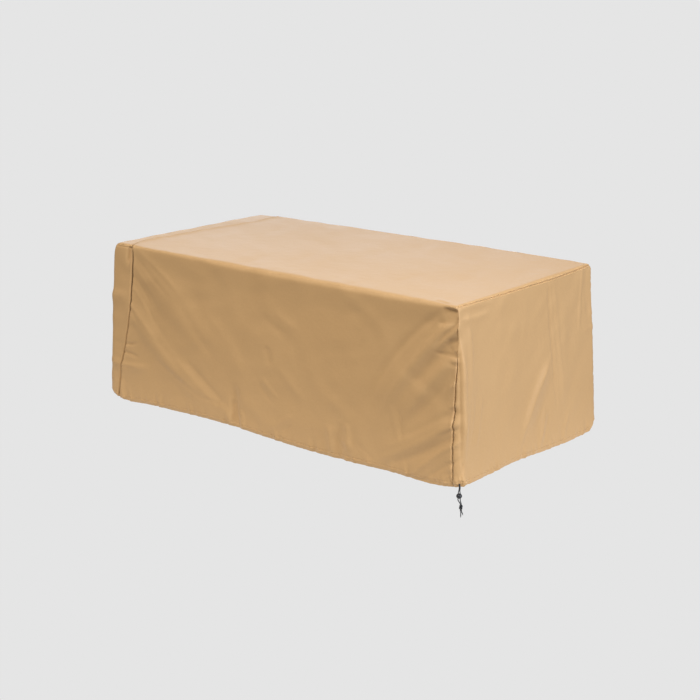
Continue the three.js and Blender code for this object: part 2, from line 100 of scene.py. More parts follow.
# Main folds by side, as in the solids but for three at the front that are a little lower: from, to,
# bow, width and height. A place is (along the side, height), and on the top (x, y). A fold rises and
# dies away over the shares of its run in FOLD_START and FOLD_END.
FOLDS = {
    "front": [
        ((-690, -185), (-200, -540), -22, 34, 5.6),
        ((-640, -120), (-330, -400), -8, 42, -3),
        ((-660, -30), (-250, -350), -12, 38, 3.6),
        ((-600, -35), (-40, -420), -10, 46, 4),
        ((-430, -80), (60, -470), -15, 60, -3),
        ((735, -52), (430, -390), 26, 30, 6.5),
        ((728, -105), (575, -275), 8, 18, -4.5),
        ((730, -150), (505, -400), 14, 24, 4.5),
        ((732, -250), (480, -470), 16, 32, -4),
        ((735, -350), (430, -520), 12, 26, 5),
        ((732, -445), (560, -545), 6, 22, 3.5),
        ((255, -450), (360, -550), -4, 16, 3),
        ((-225, -485), (-170, -550), 2, 14, 3),
    ],
    "right": [
        ((-334, -44), (-328, -480), 8, 26, 7),
        ((-365, -42), (-200, -46), -5, 13, 3),
        ((110, -270), (-45, -500), 10, 22, 6),
        ((150, -300), (20, -530), 8, 26, -3.5),
        ((85, -420), (40, -530), 3, 16, 3.5),
        ((215, -60), (190, -470), 5, 26, 3),
        ((-90, -60), (-130, -440), -6, 44, 3),
    ],
    "back": [
        ((690, -110), (250, -480), 18, 40, 6),
        ((640, -40), (60, -400), 14, 48, 4),
        ((-640, -70), (-260, -500), -16, 38, 6),
        ((-560, -40), (-60, -430), -14, 50, 4),
        ((-650, -280), (-420, -530), -8, 30, 4.5),
    ],
    "left": [
        ((-320, -50), (-60, -430), -12, 36, 5),
        ((300, -60), (110, -400), 12, 34, 5),
        ((-200, -250), (-90, -530), -6, 28, 4),
    ],
}
FOLD_START = 0.22
FOLD_END = 0.35

# Small creases, too fine for the solids, in the same form. A sixth value is the width on the upper
# side.
CREASES = {
    "front": [
        # under the top edge at the near corner: a hollow, then a loop of cloth
        ((684, -3), (796, -7), 0, 5, 3.5),
        ((676, -14), (796, -26), 0, 27, -8.5, 7),
        ((656, -66), (764, -34), 0, 9, -5),
        ((762, -18), (646, -141), 2, 5.5, -5),
        ((756, -40), (650, -156), 0, 5.5, 3),
        ((650, -150), (716, -144), -8, 4.5, -2.8),
        ((690, -118), (760, -96), 0, 10, -5),
        ((686, -112), (726, -158), 0, 4.5, -3),
        ((708, -141), (750, -130), 0, 6, 3.4),
        # puckers along the near seam
        ((696, -154), (766, -150), -3, 5, -3.6),
        ((702, -165), (752, -161), -3, 5, 2.4),
        ((696, -176), (744, -180), -3, 4.5, -2.4),
        ((700, -258), (744, -230), 6, 6, 2.5),
        ((686, -313), (746, -324), -4, 7, -2),
        ((752, -364), (657, -419), 5, 6, -3.4),
        ((705, -208), (682, -313), 3, 5, 1.8),
        ((733, -290), (680, -335), 1, 6, 1.8),
        # finer edges of the folds that fall from the near seam
        ((789, 13), (412, -451), 31, 22, 6.5, 14),
        ((722, 0), (366, -432), 54, 13, -4),
        ((776, -291), (442, -485), -1, 12, -3),
        ((786, -101), (491, -445), 16, 14, 3.5, 12),
        ((775, -154), (543, -408), 2, 12, -1.5),
        ((815, -291), (387, -558), -12, 18, 5.2, 12),
        ((796, -335), (425, -556), -18, 10, -2),
        ((787, -388), (536, -577), 15, 8, 4.5),
        ((778, -445), (568, -579), 4, 6, -2.5),
        ((483, -337), (517, -471), 0, 7, 1.8),
        ((512, -343), (531, -467), 2, 6, -1.5),
        # a fan of creases from the top left corner, and the edges of the long fold
        ((-683, 0), (-439, -176), -7, 8, -1.2),
        ((-654, -2), (-399, -154), 8, 9, 1.6),
        ((-681, -38), (-515, -199), 3, 8, 1.2),
        ((-678, -90), (-549, -230), 16, 6, -1.2),
        ((-679, -118), (-544, -266), 5, 6, 1.2),
        ((-606, -162), (-448, -327), -14, 8, -0.8),
        ((-721, -176), (-270, -517), -26, 18, 1),
        ((-664, -104), (-324, -412), -12, 28, 1.5),
        ((-454, -141), (-236, -357), -3, 16, -1.2),
        ((-674, -196), (-606, -275), -6, 5, -1.6),
        ((-685, -186), (-505, -336), 0, 7, 1.6),
        ((-551, -292), (-358, -427), -4, 12, -1.6),
        ((-461, -356), (-183, -542), 5, 10, 2.2),
        ((-398, -356), (-174, -512), 2, 9, -2.2),
        ((-524, -385), (-265, -502), -5, 9, -2),
        # low creases on the middle of the wall
        ((-327, -172), (-96, -442), 37, 24, 2.2),
        ((-152, -580), (-160, -392), 0, 16, -7),
        ((-50, -353), (34, -423), -2, 8, 2),
        ((-62, -377), (11, -444), -2, 7, -1.6),
        ((25, -308), (151, -418), 1, 16, 2),
        ((-27, -248), (-5, -320), 1, 10, -3),
        ((-58, -151), (84, -207), -5, 14, -1.2),
        ((-4, -123), (120, -178), -6, 12, 1.2),
        # puckers beside the left seam, and the strip to its left
        ((-728, -355), (-607, -340), -6, 4, -4.5),
        ((-723, -384), (-602, -395), 5, 4, -4.5),
        ((-771, -434), (-542, -421), -1, 18, 5, 8),
        ((-724, -446), (-604, -434), 3, 5, -2),
        ((-668, 8), (-670, -74), 0, 7, -9),
        ((-789, -194), (-648, -170), -2, 32, 6, 13),
        ((-772, -421), (-755, -552), 2, 4, 3),
        ((-750, -409), (-740, -550), 0, 4, -3),
        # puckers and hollows above the hem
        ((-216, -501), (-298, -481), 2, 6, -1.8),
        ((-163, -460), (-151, -556), -2, 9, -5),
        ((-132, -490), (-118, -560), 0, 7, 4.5),
        ((9, -524), (101, -450), 3, 6, 3),
        ((40, -530), (93, -485), 0, 5, -3),
        ((240, -452), (253, -549), 0, 9, 5),
        ((288, -590), (279, -432), 0, 14, -8),
        ((312, -432), (322, -529), 0, 9, 5),
        ((295, -501), (317, -563), 0, 5, -3),
        ((323, -510), (355, -557), 1, 5, -2.5),
        ((350, -488), (437, -548), 0, 4, -2),
        ((523, -556), (705, -551), 2, 6, -2.6),
        # notches at the near corner
        ((732, -436), (790, -520), -2, 5, -4),
        ((738, -420), (780, -480), 0, 5, 3),
    ],
    "top": [
        # by the near corner and beside the left seam
        ((636, -352), (706, -370), 0, 5, -2.6),
        ((630, -342), (700, -358), 0, 6, 2),
        ((-690, -230), (-540, -200), 6, 12, 1.2),
        ((-686, -90), (-440, -170), -8, 16, -1),
    ],
    "right": [
        # by the near corner: the band under the top edge, the ridge, and the notches
        ((-385, -32), (-190, -42), 3, 6, -2.4, 16),
        ((-379, -20), (-191, -30), 0, 5, -1),
        ((-377, -32), (-215, -42), 0, 5, -1),
        ((-378, -2), (-376, -110), 0, 5, 2.5),
        ((-364, -90), (-361, -520), 0, 8, 12.5, 16),
        ((-342, 23), (-380, -443), -36, 7, 3, 10),
        ((-267, -287), (-309, -465), -2, 6, 4),
        ((-299, -280), (-334, -458), -5, 6, -3),
        ((-369, -480), (-377, -532), -6, 5, -3.4),
        ((-400, -522), (-350, -538), -6, 5, 2.4),
        # elsewhere
        ((146, -236), (-87, -576), 31, 10, 4.2, 12),
        ((87, -404), (36, -567), 1, 6, 4),
        ((110, -425), (60, -571), 1, 5, -2.5),
        ((111, 46), (152, -476), -3, 6, -4),
        ((145, 23), (190, -465), 1, 9, 2),
        ((220, -447), (170, -570), 1, 9, 2.6),
        ((-12, -27), (-42, -221), -3, 16, 1.2),
        ((-170, 5), (-174, -228), -14, 18, 1.2),
        ((345, 3), (343, -214), 0, 7, -3.6),
        ((326, 17), (288, -235), 0, 6, 3),
        ((350, 1), (328, -204), -6, 5, 2),
        ((315, -211), (403, -203), -4, 6, 2.4),
    ],
    "back": [
        ((-640, -150), (-560, -210), 0, 12, -2.5),
        ((715, -160), (600, -280), 8, 14, -3),
        ((720, -240), (560, -400), 10, 20, 3),
        ((120, -470), (60, -550), 0, 12, 2.2),
        ((-330, -480), (-380, -552), 0, 12, 2.2),
        ((-640, -40), (-310, -390), -14, 16, 4.5),
        ((-640, -170), (-400, -440), -8, 15, -4.5),
        ((700, -50), (330, -410), 18, 17, 4.5),
        ((715, -330), (420, -510), 10, 15, 5),
        ((-250, -420), (-236, -560), 0, 15, -6),
        ((80, -390), (150, -480), 2, 15, -3.5),
    ],
    "left": [
        ((360, -40), (300, -180), 4, 14, 3),
        ((-350, -90), (-270, -260), 6, 14, -2.5),
        ((-372, -425), (-366, -530), 0, 8, 2.6),
        ((-350, -420), (-352, -530), 0, 9, -2.6),
        ((60, -440), (90, -545), 0, 12, 2.4),
        ((-345, -70), (-140, -340), -12, 15, 4),
        ((345, -220), (170, -440), 10, 15, -4),
    ],
}

# Slack, low waves over all of the cloth: (wave length along, wave length up, phase, height). Slower
# waves bend them all, so that they don't run in even rows: (share of y, length, height, phase).
SLACK = [
    (310, 520, 0.4, 0.7), (-170, 260, 2.1, 0.4), (128, 150, 4.0, 0.3), (-96, 210, 1.2, 0.22),
    (240, -120, 5.1, 0.35), (88, -300, 3.3, 0.15),
]
SLACK_LEAN = 0.4
SLACK_BENDS = [(-0.7, 83, 61, 0), (1, 131, -47, 2)]
SLACK_BEND = 1.6
SLACK_ON_TOP = 0.8

# Undercut: the walls sink in below the top edges, and come out again more slowly further down. The
# ends have a share of it.
UNDERCUT = 8.5
UNDERCUT_DEPTH = 88
UNDERCUT_POWER = 1.5
UNDERCUT_BELOW = 190
UNDERCUT_SHARE = {"left": 0.2, "right": 0.6}

# Seams: the cloth dips into the seam and stands over its folded allowance beside it
SEAM = {
    "left": {"dip": 8, "dip_width": 2.6, "ridge": 2.2, "ridge_at": 5},
    "right": {"dip": 4.6, "dip_width": 2.3, "ridge": 3.2, "ridge_at": 5.5},
    "top": {"dip": 3.2, "dip_width": 1.8, "ridge": 1.4, "ridge_at": 3.5},
}
# Ridges, as shares of a seam's own: the top seam's on the top, the back seam's on the right end
TOP_RIDGE_ABOVE = 0.4
BACK_RIDGE = 0.5
# The top seam's share at the front; at the back it is full
TOP_SEAM_AT_FRONT = 0.45
# Puckers along a seam: (wave length, phase, share). They slant, and grow and shrink along it.
PUCKER_WAVES = [(17, 0.7, 0.6), (29, 2.9, 0.8), (47, 5.2, 1)]
PUCKER_SLANT = 0.3
PUCKER_UNEVEN = 0.4
PUCKER_UNEVEN_LENGTH = 171
PUCKER_UNEVEN_PHASE = 1.3
PUCKER_REACH = 18
PUCKER_HEIGHT = {"left": 0.55, "right": 1.1, "top": 0.15, "hem": 3}
PUCKER_SHARE = {"right_front": 0.6, "left_wall": 0.5, "left_top": 0.3}
# On the top the left seam's puckers lose this share. The right seam's puckers come this much further
# down than it is drawn in.
LEFT_PUCKERS_LESS = 0.6
RIGHT_PUCKERS_LOWER = 160
# The front's and the back's forms give way to the top's within this distance of the edge
EDGE_BLEND = 6
# Painted shade: the cloth's colour is darkened this near to a seam's line, standing in for the shadow in
# the seam's narrow crevice
SEAM_SHADE = {"left": 1.35, "right": 0.8}
SEAM_SHADE_MORE_AT_EDGE = 1.1
SEAM_SHADE_EDGE_REACH = 50
TOPSTITCH = 6.5
TOPSTITCH_DIP = 0.3
TOPSTITCH_WIDTH = 1.3
# The right seam is slack near the top and drawn tight below. The ridge beside it is lower at the hem,
# in the share RIDGE_AT_HEM.
SEAM_SLACK = 0.12
SEAM_SLACK_TO = 145
SEAM_TIGHT_FROM = 195
RIDGE_FULL_TO = 320
RIDGE_FADE = 120
RIDGE_AT_HEM = 0.5

# Darts on the left end panel's short top edges: their depth below the edge, and where round the
# corner they start
DART_DEPTH = 9
DART_DIP = 2.4
DART_WIDTH = 1.8
DART_FROM = 2
DART_FADE = 14

# Hem casing: the hem is turned up and stitched, with the cord inside
HEM_TURN = 17
CASING_SWELL = 1.2
CASING_INSIDE = 4.5
HEM_EDGE = 2.4
HEM_EDGE_THINNER = 0.7
HEM_STITCH_DIP = 0.6
HEM_PUCKERS_AT = 10.2

# Stitches
STITCH_PITCH = 4.2
STITCH_LENGTH = 3.2
STITCH_RADIUS = 0.32
STITCH_LIFT = 0.2
STITCH_RINGS = 5
STITCH_SIDES = 5
STITCH_END = 0.02
# A stitch points to the place that is this share of a stitch further along its row
STITCH_NUDGE = 0.2
# Rows of stitches: how far they stop from the top edges, from the right end's corners and from the
# main hems' ends, their ends along the end hems, and the length that the left hem's are counted for
STITCHES_STOP = 2
STITCHES_INSET = 3
HEM_INSET = 1
HEM_ROW = {"right": (-24, DEPTH + 8), "left": (-34, DEPTH + 56)}
LEFT_HEM_LENGTH = DEPTH + 130

# Drawcord, as in the solids
CORD = 2.8
SLIT_HEIGHT = 12
SLIT_HALF_LENGTH = 7
SLIT_END = 2.5
SLIT_WIDTH = 1.7
SLIT_DEPTH = 3
CORD_OUT = 6
LOCK_WIDTH = 18
LOCK_HEIGHT = 16.5
LOCK_DROP = 25.5
LOCK_SWAY = -3.2
LOCK_GRID = (48, 64)
# In the lock, the strands are this far apart
LOCK_SPACING = 7
KNOT_WIDTH = 10
KNOT_HEIGHT = 14
KNOT_DROP = 61.5
KNOT_SWAY = 2.6
# The knot's turns: the helix, and the turn over it by its first and last angle in turns
KNOT_TURNS = 3.2
KNOT_OVER_TURNS = (0.15, 1.25)
KNOT_OVER_OUT = 0.7
KNOT_OVER_RISE = 4.2
KNOT_OVER_LAG = 0.6
KNOT_STATIONS = 160
KNOT_SIDES = 16
UP = np.array([0, 0, 1.0])
CORNER_OUT = np.array([math.sqrt(0.5), -math.sqrt(0.5), 0])
CORNER_ALONG = np.array([math.sqrt(0.5), math.sqrt(0.5), 0])
# The strands' way: drop below the hem, distance out from the slit, sway along the hem, and each
# strand's half of the distance between them
STRAND_WAY = [
    (-12, 1.4, -2, 1.5), (-10, 3.2, -2, 1.5), (-6.5, 4.9, -2, 1.5), (-1.5, 5.8, -2, 1.5),
    (3.5, CORD_OUT, -2.3, 1.5), (8.5, CORD_OUT, -2.9, 1.6), (13, CORD_OUT, LOCK_SWAY, 2.3),
    (18, CORD_OUT, LOCK_SWAY, LOCK_SPACING / 2), (22, CORD_OUT, LOCK_SWAY, LOCK_SPACING / 2),
    (31, CORD_OUT, LOCK_SWAY, LOCK_SPACING / 2), (38, CORD_OUT, -3, 3.4),
    (44, CORD_OUT, -0.8, 2.4), (50, CORD_OUT, 1.8, 1.6), (55.5, CORD_OUT, KNOT_SWAY, 1.6),
    (61.5, CORD_OUT, KNOT_SWAY, 1.6), (67.5, CORD_OUT, KNOT_SWAY, 1.6), (73, CORD_OUT, 3.2, 1.6),
    (78, CORD_OUT, 4.3, 1.8),
]
STRAND_TIPS = {
    "left": [(83, CORD_OUT, 5, 2.2), (88, CORD_OUT, 5.2, 2.4), (93, CORD_OUT, 5.2, 2.5)],
    "right": [(82, CORD_OUT, 5.3, 2.3), (86, CORD_OUT, 6.3, 2.9)],
}
STRAND_STEPS = 10
STRAND_SIDES = 24
STRAND_END = 0.01
# The braid's relief as a share of the radius, its threads round the cord, and the length of a turn
BRAID = 0.05
BRAID_THREADS = 4
BRAID_PITCH = 3.2
# Fibres at a strand's cut end. Root and bend are distances along the cord and aside, the bend's
# first as a share of the fibre's reach.
FIBRES = 14
FIBRE_SEED = {"left": 7, "right": 8}
FIBRE_REACH = (1.5, 4)
FIBRE_SPREAD = (1, 2)
FIBRE_ROOT = (1.2, 0.7)
FIBRE_BEND = (0.6, 1.1)
FIBRE_RADIUS = (0.17, 0.05)
FIBRE_SIDES = 5
FIBRE_STEPS = 3

# Camera: the photograph's view
CAMERA_PLACE = (3.3612, -4.1077, 1.1081)
CAMERA_TURN = (74.77, 0, 39.15)
CAMERA_LENS = 81.3
CAMERA_REACH = 200

# Backdrop and sky, then light back from the floor, the main light above the front, a key off the
# right end and one behind: place, point faced, width and height, power and colour
BACKGROUND = 0.7835
BACKDROP_WIDTH = 80000
BACKDROP_GRID = (32, 64)
SKY = 0.27
LIGHTS = {
    "bounce": ((0, 0, -0.67), (0, 0, 1), (2.3, 1.6), 8.5, (1, 1, 1)),
    "main": ((0.2, -3.4, 4.2), (0, 0, -0.3), (1.6, 1.6), 229, (1, 1, 1)),
    "key": ((3.6, -0.4, 1.2), (0.7, 0, -0.3), (1.1, 1.1), 100, (0.92, 1.01, 1.2)),
    "back": ((-8.5, 9.2, 3.4), (0, 0, 0), (7, 7), 462, (0.95, 1.03, 1.12)),
}

# Colours and patterns
WEAVE_PITCH = 0.9 * MM
CLOTH_COLOUR = (0.552, 0.328, 0.140, 1)
CLOTH_DARK = (0.528, 0.311, 0.131, 1)
CLOTH_LIGHT = (0.567, 0.340, 0.148, 1)
# Painted shade: the dark colour that the cloth goes to in the seams' crevices
SEAM_SHADE_COLOUR = (0.03, 0.016, 0.006, 1)
# The cloth's noises: wide patches, grain, streaks along its threads, and crumpling
PATCH_SCALE = 3.2
GRAIN_SCALE = 160
STREAK_SCALE = (700, 6, 1)
CRUMPLE_SCALE = 26
# Their shares in its tone and in its relief, and the relief's strength and depth
TONE = {"patches": 0.55, "grain": 0.33, "streaks": 0.12}
RELIEF = {"weave": 0.35, "grain": 0.35, "crumple": 46}
RELIEF_STRENGTH = 0.22
RELIEF_DEPTH = 0.12 * MM
THREAD_DARK = (0.45, 0.27, 0.115, 1)
THREAD_LIGHT = (0.56, 0.34, 0.15, 1)
THREAD_GRAIN = 900
CORD_DARK = (0.008, 0.008, 0.009, 1)
CORD_LIGHT = (0.03, 0.03, 0.032, 1)
CORD_FUZZ = 1500
FIBRE_DARK = (0.10, 0.10, 0.10, 1)
FIBRE_LIGHT = (0.25, 0.25, 0.25, 1)
LOCK_DARK = (0.010, 0.010, 0.011, 1)
LOCK_LIGHT = (0.02, 0.02, 0.022, 1)
LOCK_GRAIN = 1200


def make_camera():
    """The camera at the photograph's view."""
    data = bpy.data.cameras.new("camera")
    data.lens = CAMERA_LENS
    data.clip_end = CAMERA_REACH
    camera = bpy.data.objects.new("camera", data)
    camera.location = CAMERA_PLACE
    camera.rotation_euler = [math.radians(angle) for angle in CAMERA_TURN]
    bpy.context.scene.collection.objects.link(camera)
    bpy.context.scene.camera = camera


# Numbers


def ease(t):
    """The cubic that goes from 0 to 1 as t does, and is level at both ends."""
    s = np.clip(t, 0, 1)
    return s * s * (3 - 2 * s)


def lerp(low, high, share):
    """The value at a share of the straight way from low to high."""
    return low + (high - low) * share


def from_table(rows, place):
    """A table's value at places: the cubic through each two rows that keeps the slopes at both."""
    at, value = np.array(rows, float).T
    slope = np.gradient(value, at)
    place = np.clip(place, at[0], at[-1])
    low = np.clip(np.searchsorted(at, place, side="right") - 1, 0, len(at) - 2)
    gap = at[low + 1] - at[low]
    t = (place - at[low]) / gap
    bend = gap * t * (1 - t) * ((1 - t) * slope[low] - t * slope[low + 1])
    return lerp(value[low], value[low + 1], ease(t)) + bend


def bell(distance, width):
    """A bell curve: e to the power of minus the square of the distance over the width."""
    return np.exp(-((distance / width) ** 2))


def half_round(share):
    """The height of a half circle over its width, from 0 at a share of 0 or 1 to 1 in the middle."""
    return np.sqrt(np.clip(1 - (2 * share - 1) ** 2, 0, 1))


def unit(vectors):
    """Vectors divided by their lengths."""
    return vectors / np.linalg.norm(vectors, axis=-1, keepdims=True)


def graded(first, growth, longest, reach):
    """Offsets from 0 to reach whose steps grow by a factor up to the longest step."""
    steps = [0.0]
    step = first
    while steps[-1] + step < reach:
        steps.append(steps[-1] + step)
        step = min(step * growth, longest)
    return np.array([*steps, reach])


def between(low, high, start, end, step):
    """Stations from low to high: the offsets in start from low, steps of one length, and the offsets in
    end back from high."""
    first = low + start[-1]
    last = high - end[-1]
    count = max(1, round((last - first) / step))
    even = first + (last - first) * np.arange(1, count) / count
    return np.concatenate([low + start, even, (high - end)[::-1]])


# The cloth


def fold_rise(fold, along, up):
    """A fold's rise at places on its side: a bell across its bowed line, eased in and out along it."""
    start, end, bow, width, height, *upper_width = fold
    run_along = end[0] - start[0]
    run_up = end[1] - start[1]
    reach = math.hypot(run_along, run_up)
    to_along = along - start[0]
    to_up = up - start[1]
    t = (to_along * run_along + to_up * run_up) / reach**2
    off = np.sign(run_along) * (run_along * to_up - run_up * to_along) / reach
    inside = ease(t / FOLD_START) * ease((1 - t) / FOLD_END)
    across = off - bow * 4 * t * (1 - t)
    above = upper_width[0] if upper_width else width
    return height * inside * bell(across, np.where(across > 0, above, width))


def slack_rise(place):
    """Low waves: each a sine of a weighted sum of the three coordinates, bent by slow waves."""
    x, y, z = np.moveaxis(place, -1, 0)
    bends = (np.sin((x + lean * y) / long + z / tall + phase) for lean, long, tall, phase in SLACK_BENDS)
    bend = SLACK_BEND * sum(bends)
    return sum(
        height * np.sin(TURN * ((x + y) / along + (z - SLACK_LEAN * y) / up) + phase + bend)
        for along, up, phase, height in SLACK
    )


def rounded(place):
    """Places on the box with its edges rounded, and the way out there: a place goes to the nearest point
    of a smaller core plus an ellipsoid's radius."""
    x, y, z = np.moveaxis(place, -1, 0)
    off_centre = np.abs(x - np.where(y < 0, ROLL_CENTRE["front"], ROLL_CENTRE["back"]))
    middle = 1 - ease((off_centre / HALF_LENGTH - ROLL_MIDDLE) / ROLL_FADE)
    roll = np.where(y < 0, EDGE_ROLL["front"], EDGE_ROLL["back"]) * middle * (1 - ease(-z / ROLL_DEPTH))
    upright = lerp(CORNER_RADIUS, HEM_RADIUS, -z / DROP)
    radius = np.stack([upright, upright + roll, CORNER_RADIUS + roll], -1)
    core = np.stack([
        np.clip(x, radius[..., 0] - HALF_LENGTH, HALF_LENGTH - radius[..., 0]),
        np.clip(y, radius[..., 1] - HALF_DEPTH, HALF_DEPTH - radius[..., 1]),
        np.minimum(z, -radius[..., 2]),
    ], -1)
    out = unit((place - core) / radius)
    return out * radius + core, out


def hang(point, place):
    """Moves rounded points as the cloth hangs: the walls flare and stand off, and the top lifts."""
    depth = np.maximum(0, -point[..., 2])
    puff = 1 - np.exp(-depth / STAND_OFF_DEPTH)
    for axis, half, low, high in [(0, HALF_LENGTH, "left", "right"), (1, HALF_DEPTH, "front", "back")]:
        side = place[..., axis]
        near = ease((np.abs(side) - half + STAND_OFF_MARGIN) / STAND_OFF_MARGIN)
        point[..., axis] *= 1 + np.where(side < 0, FLARE[low], FLARE[high]) * depth / DROP / half
        stand_off = np.where(side < 0, STAND_OFF[low], STAND_OFF[high])
        point[..., axis] += np.sign(side) * puff * near * stand_off
    to_right = (place[..., 0] + HALF_LENGTH) / LENGTH
    to_back = (place[..., 1] + HALF_DEPTH) / DEPTH
    front_lift = lerp(TOP_LIFT["front_left"], TOP_LIFT["front_right"], to_right)
    back_lift = lerp(TOP_LIFT["back_left"], TOP_LIFT["back_right"], to_right)
    back_lift = back_lift + BACK_EDGE_LIFT * (1 - (2 * to_right - 1) ** 4)
    point[..., 2] += CLOTH + lerp(front_lift, back_lift, to_back**2) * (1 + place[..., 2] / DROP)


def skin(place, extra, tables=(FOLDS, CREASES)):
    """The cloth's outer face over places on the box, and the way out of it.

    The rounded box hangs, and its hem line bends by the square of the depth. The extra rise, the slack,
    the folds and the hem's curl then move it along the way out. A side's share in this is the square of
    the way out towards it."""
    x, y, z = np.moveaxis(place, -1, 0)
    point, out = rounded(place)
    hang(point, place)
    share = {side: np.maximum(0, sign * out[..., axis]) ** 2 for side, (axis, sign) in SIDES.items()}
    along = {"front": x, "back": x, "left": y, "right": y, "top": x}
    dropped = sum(share[side] * from_table(rows, along[side]) for side, rows in HEM_LINE.items())
    point[..., 2] -= dropped * (z / DROP) ** 2
    slack = slack_rise(place) * lerp(1, SLACK_ON_TOP, share["top"])
    rise = extra + slack - HEM_CURL * ease((HEM_BAND - (DROP + z)) / HEM_BAND) ** 2
    for table in tables:
        for side, folds in table.items():
            up = y if side == "top" else z
            rise = rise + share[side] * sum(fold_rise(fold, along[side], up) for fold in folds)
    return point + out * rise[..., None], out


def puckers(along, distance, height):
    """Short creases square to a seam: a sum of sines along it that dies away from it."""
    wave = sum(share * np.sin(TURN * (along + PUCKER_SLANT * distance) / length + phase)
               for length, phase, share in PUCKER_WAVES)
    uneven = 1 - PUCKER_UNEVEN * (1 - np.sin(TURN * along / PUCKER_UNEVEN_LENGTH + PUCKER_UNEVEN_PHASE))
    return height * uneven * wave * np.exp(-distance / PUCKER_REACH)


def seam_rise(seam, distance, ridge=1):
    """The cloth beside a seam: a dip at the seam, and a ridge that rises fast and falls away slowly."""
    form = SEAM[seam]
    share = np.maximum(0, distance) / form["ridge_at"]
    dip = form["dip"] * bell(distance, form["dip_width"])
    return ridge * form["ridge"] * share * np.exp(1 - share) - dip


def undercut(depth):
    """The walls' sinking in below the top edges, by the depth below them: a power curve down to
    UNDERCUT_DEPTH, and a bell below it."""
    t = np.clip(depth / UNDERCUT_DEPTH, 0, 1)
    beyond = np.maximum(0, depth - UNDERCUT_DEPTH)
    return -UNDERCUT * (1 - (1 - t) ** UNDERCUT_POWER) * bell(beyond, UNDERCUT_BELOW)


def left_seam_shade(distance, depth):
    """The painted shade inside the left seam, by the distance from it; it is wider about the top edges."""
    width = SEAM_SHADE["left"] * (1 + SEAM_SHADE_MORE_AT_EDGE * bell(depth, SEAM_SHADE_EDGE_REACH))
    return bell(distance, width)


def tightness(depth):
    """How far the right seam is drawn in, by the depth below the top edge."""
    return lerp(SEAM_SLACK, 1, ease((depth - SEAM_SLACK_TO) / (SEAM_TIGHT_FROM - SEAM_SLACK_TO)))


def stitched(distance):
    """The shallow line that a row of topstitching pulls into the cloth."""
    return -TOPSTITCH_DIP * bell(distance - TOPSTITCH, TOPSTITCH_WIDTH)


def hem_rise(height, along):
    """The hem's outer face: the casing swells and puckers, its edge is round, and its stitching dips."""
    edge = np.clip(1 - height / HEM_EDGE, 0, 1)
    swell = CASING_SWELL * half_round(np.clip(height / HEM_TURN, 0, 1))
    dip = HEM_STITCH_DIP * bell(height - HEM_TURN, TOPSTITCH_WIDTH)
    puckered = puckers(along, np.abs(height - HEM_PUCKERS_AT), PUCKER_HEIGHT["hem"])
    return swell - HEM_EDGE * (1 - np.sqrt(1 - edge**2)) - dip + puckered


def hem_thickness(height):
    """The cloth's thickness: one cloth, and the casing's inner side with a round lower edge."""
    edge = np.clip(1 - height / HEM_EDGE, 0, 1)
    swell = CASING_INSIDE * half_round(np.clip(height / HEM_TURN, 0, 1))
    return CLOTH * (1 - HEM_EDGE_THINNER * edge**2) + swell


def main_limits(run):
    """The main panel's left and right seams at distances over the cover, as places along it."""
    left = from_table(LEFT_SEAM, run) - SEAM_OVERLAP / 2
    front = HALF_LENGTH - from_table(FRONT_WRAP, -run)
    back = HALF_LENGTH - from_table(BACK_WRAP, run - DEPTH)
    top = HALF_LENGTH + from_table(TOP_SEAM_DROP, run - HALF_DEPTH)
    right = np.where(run <= 0, front, np.where(run >= DEPTH, back, top))
    return left, right + SEAM_OVERLAP / 2


def right_wraps(height):
    """How far the right end panel reaches round its front and its back corner, by the height there."""
    return [from_table(rows, DROP - height) + SEAM_OVERLAP / 2 for rows in (FRONT_WRAP, BACK_WRAP)]


def left_reach(run):
    """How far the left end panel reaches from its end of the box, at distances over the cover."""
    return from_table(LEFT_SEAM, run) + SEAM_OVERLAP / 2 + HALF_LENGTH


def main_face(along, run):
    """The main panel: up the front, over the top and down the back, by its distance over the cover."""
    left, right = main_limits(run)
    y = np.clip(run, 0, DEPTH) - HALF_DEPTH
    z = np.minimum(0, np.minimum(run, DEPTH - run)) + np.minimum(0, HALF_LENGTH - along)
    place = np.stack([np.minimum(along, HALF_LENGTH), y, z], -1)
    on_top = ease((run / EDGE_BLEND + 1) / 2) * ease(((DEPTH - run) / EDGE_BLEND + 1) / 2)
    from_left = along - left
    from_right = right - along
    depth = np.maximum(-run, run - DEPTH)
    ridge = lerp(1, RIDGE_AT_HEM, ease((depth - RIDGE_FULL_TO) / RIDGE_FADE))
    left_puckers = PUCKER_HEIGHT["left"] * (1 - LEFT_PUCKERS_LESS * on_top)
    right_puckers = PUCKER_HEIGHT["right"] * tightness(depth - RIGHT_PUCKERS_LOWER)
    beside_left = seam_rise("left", from_left) + stitched(from_left)
    beside_left = beside_left + puckers(run, from_left, left_puckers)
    beside_right = tightness(depth) * seam_rise("right", from_right, ridge) + stitched(from_right)
    beside_right = beside_right + puckers(run, from_right, right_puckers)
    beside_right = lerp(beside_right, seam_rise("top", from_right, TOP_RIDGE_ABOVE), on_top)
    extra = beside_left + beside_right + hem_rise(DROP + z, along) + undercut(depth)
    # Painted shade in the seams' crevices: the share of the dark seam colour
    seam_shade = left_seam_shade(from_left, depth)
    seam_shade = seam_shade + (1 - on_top) * tightness(depth) * bell(from_right, SEAM_SHADE["right"])
    return place, extra, hem_thickness(DROP + z), seam_shade


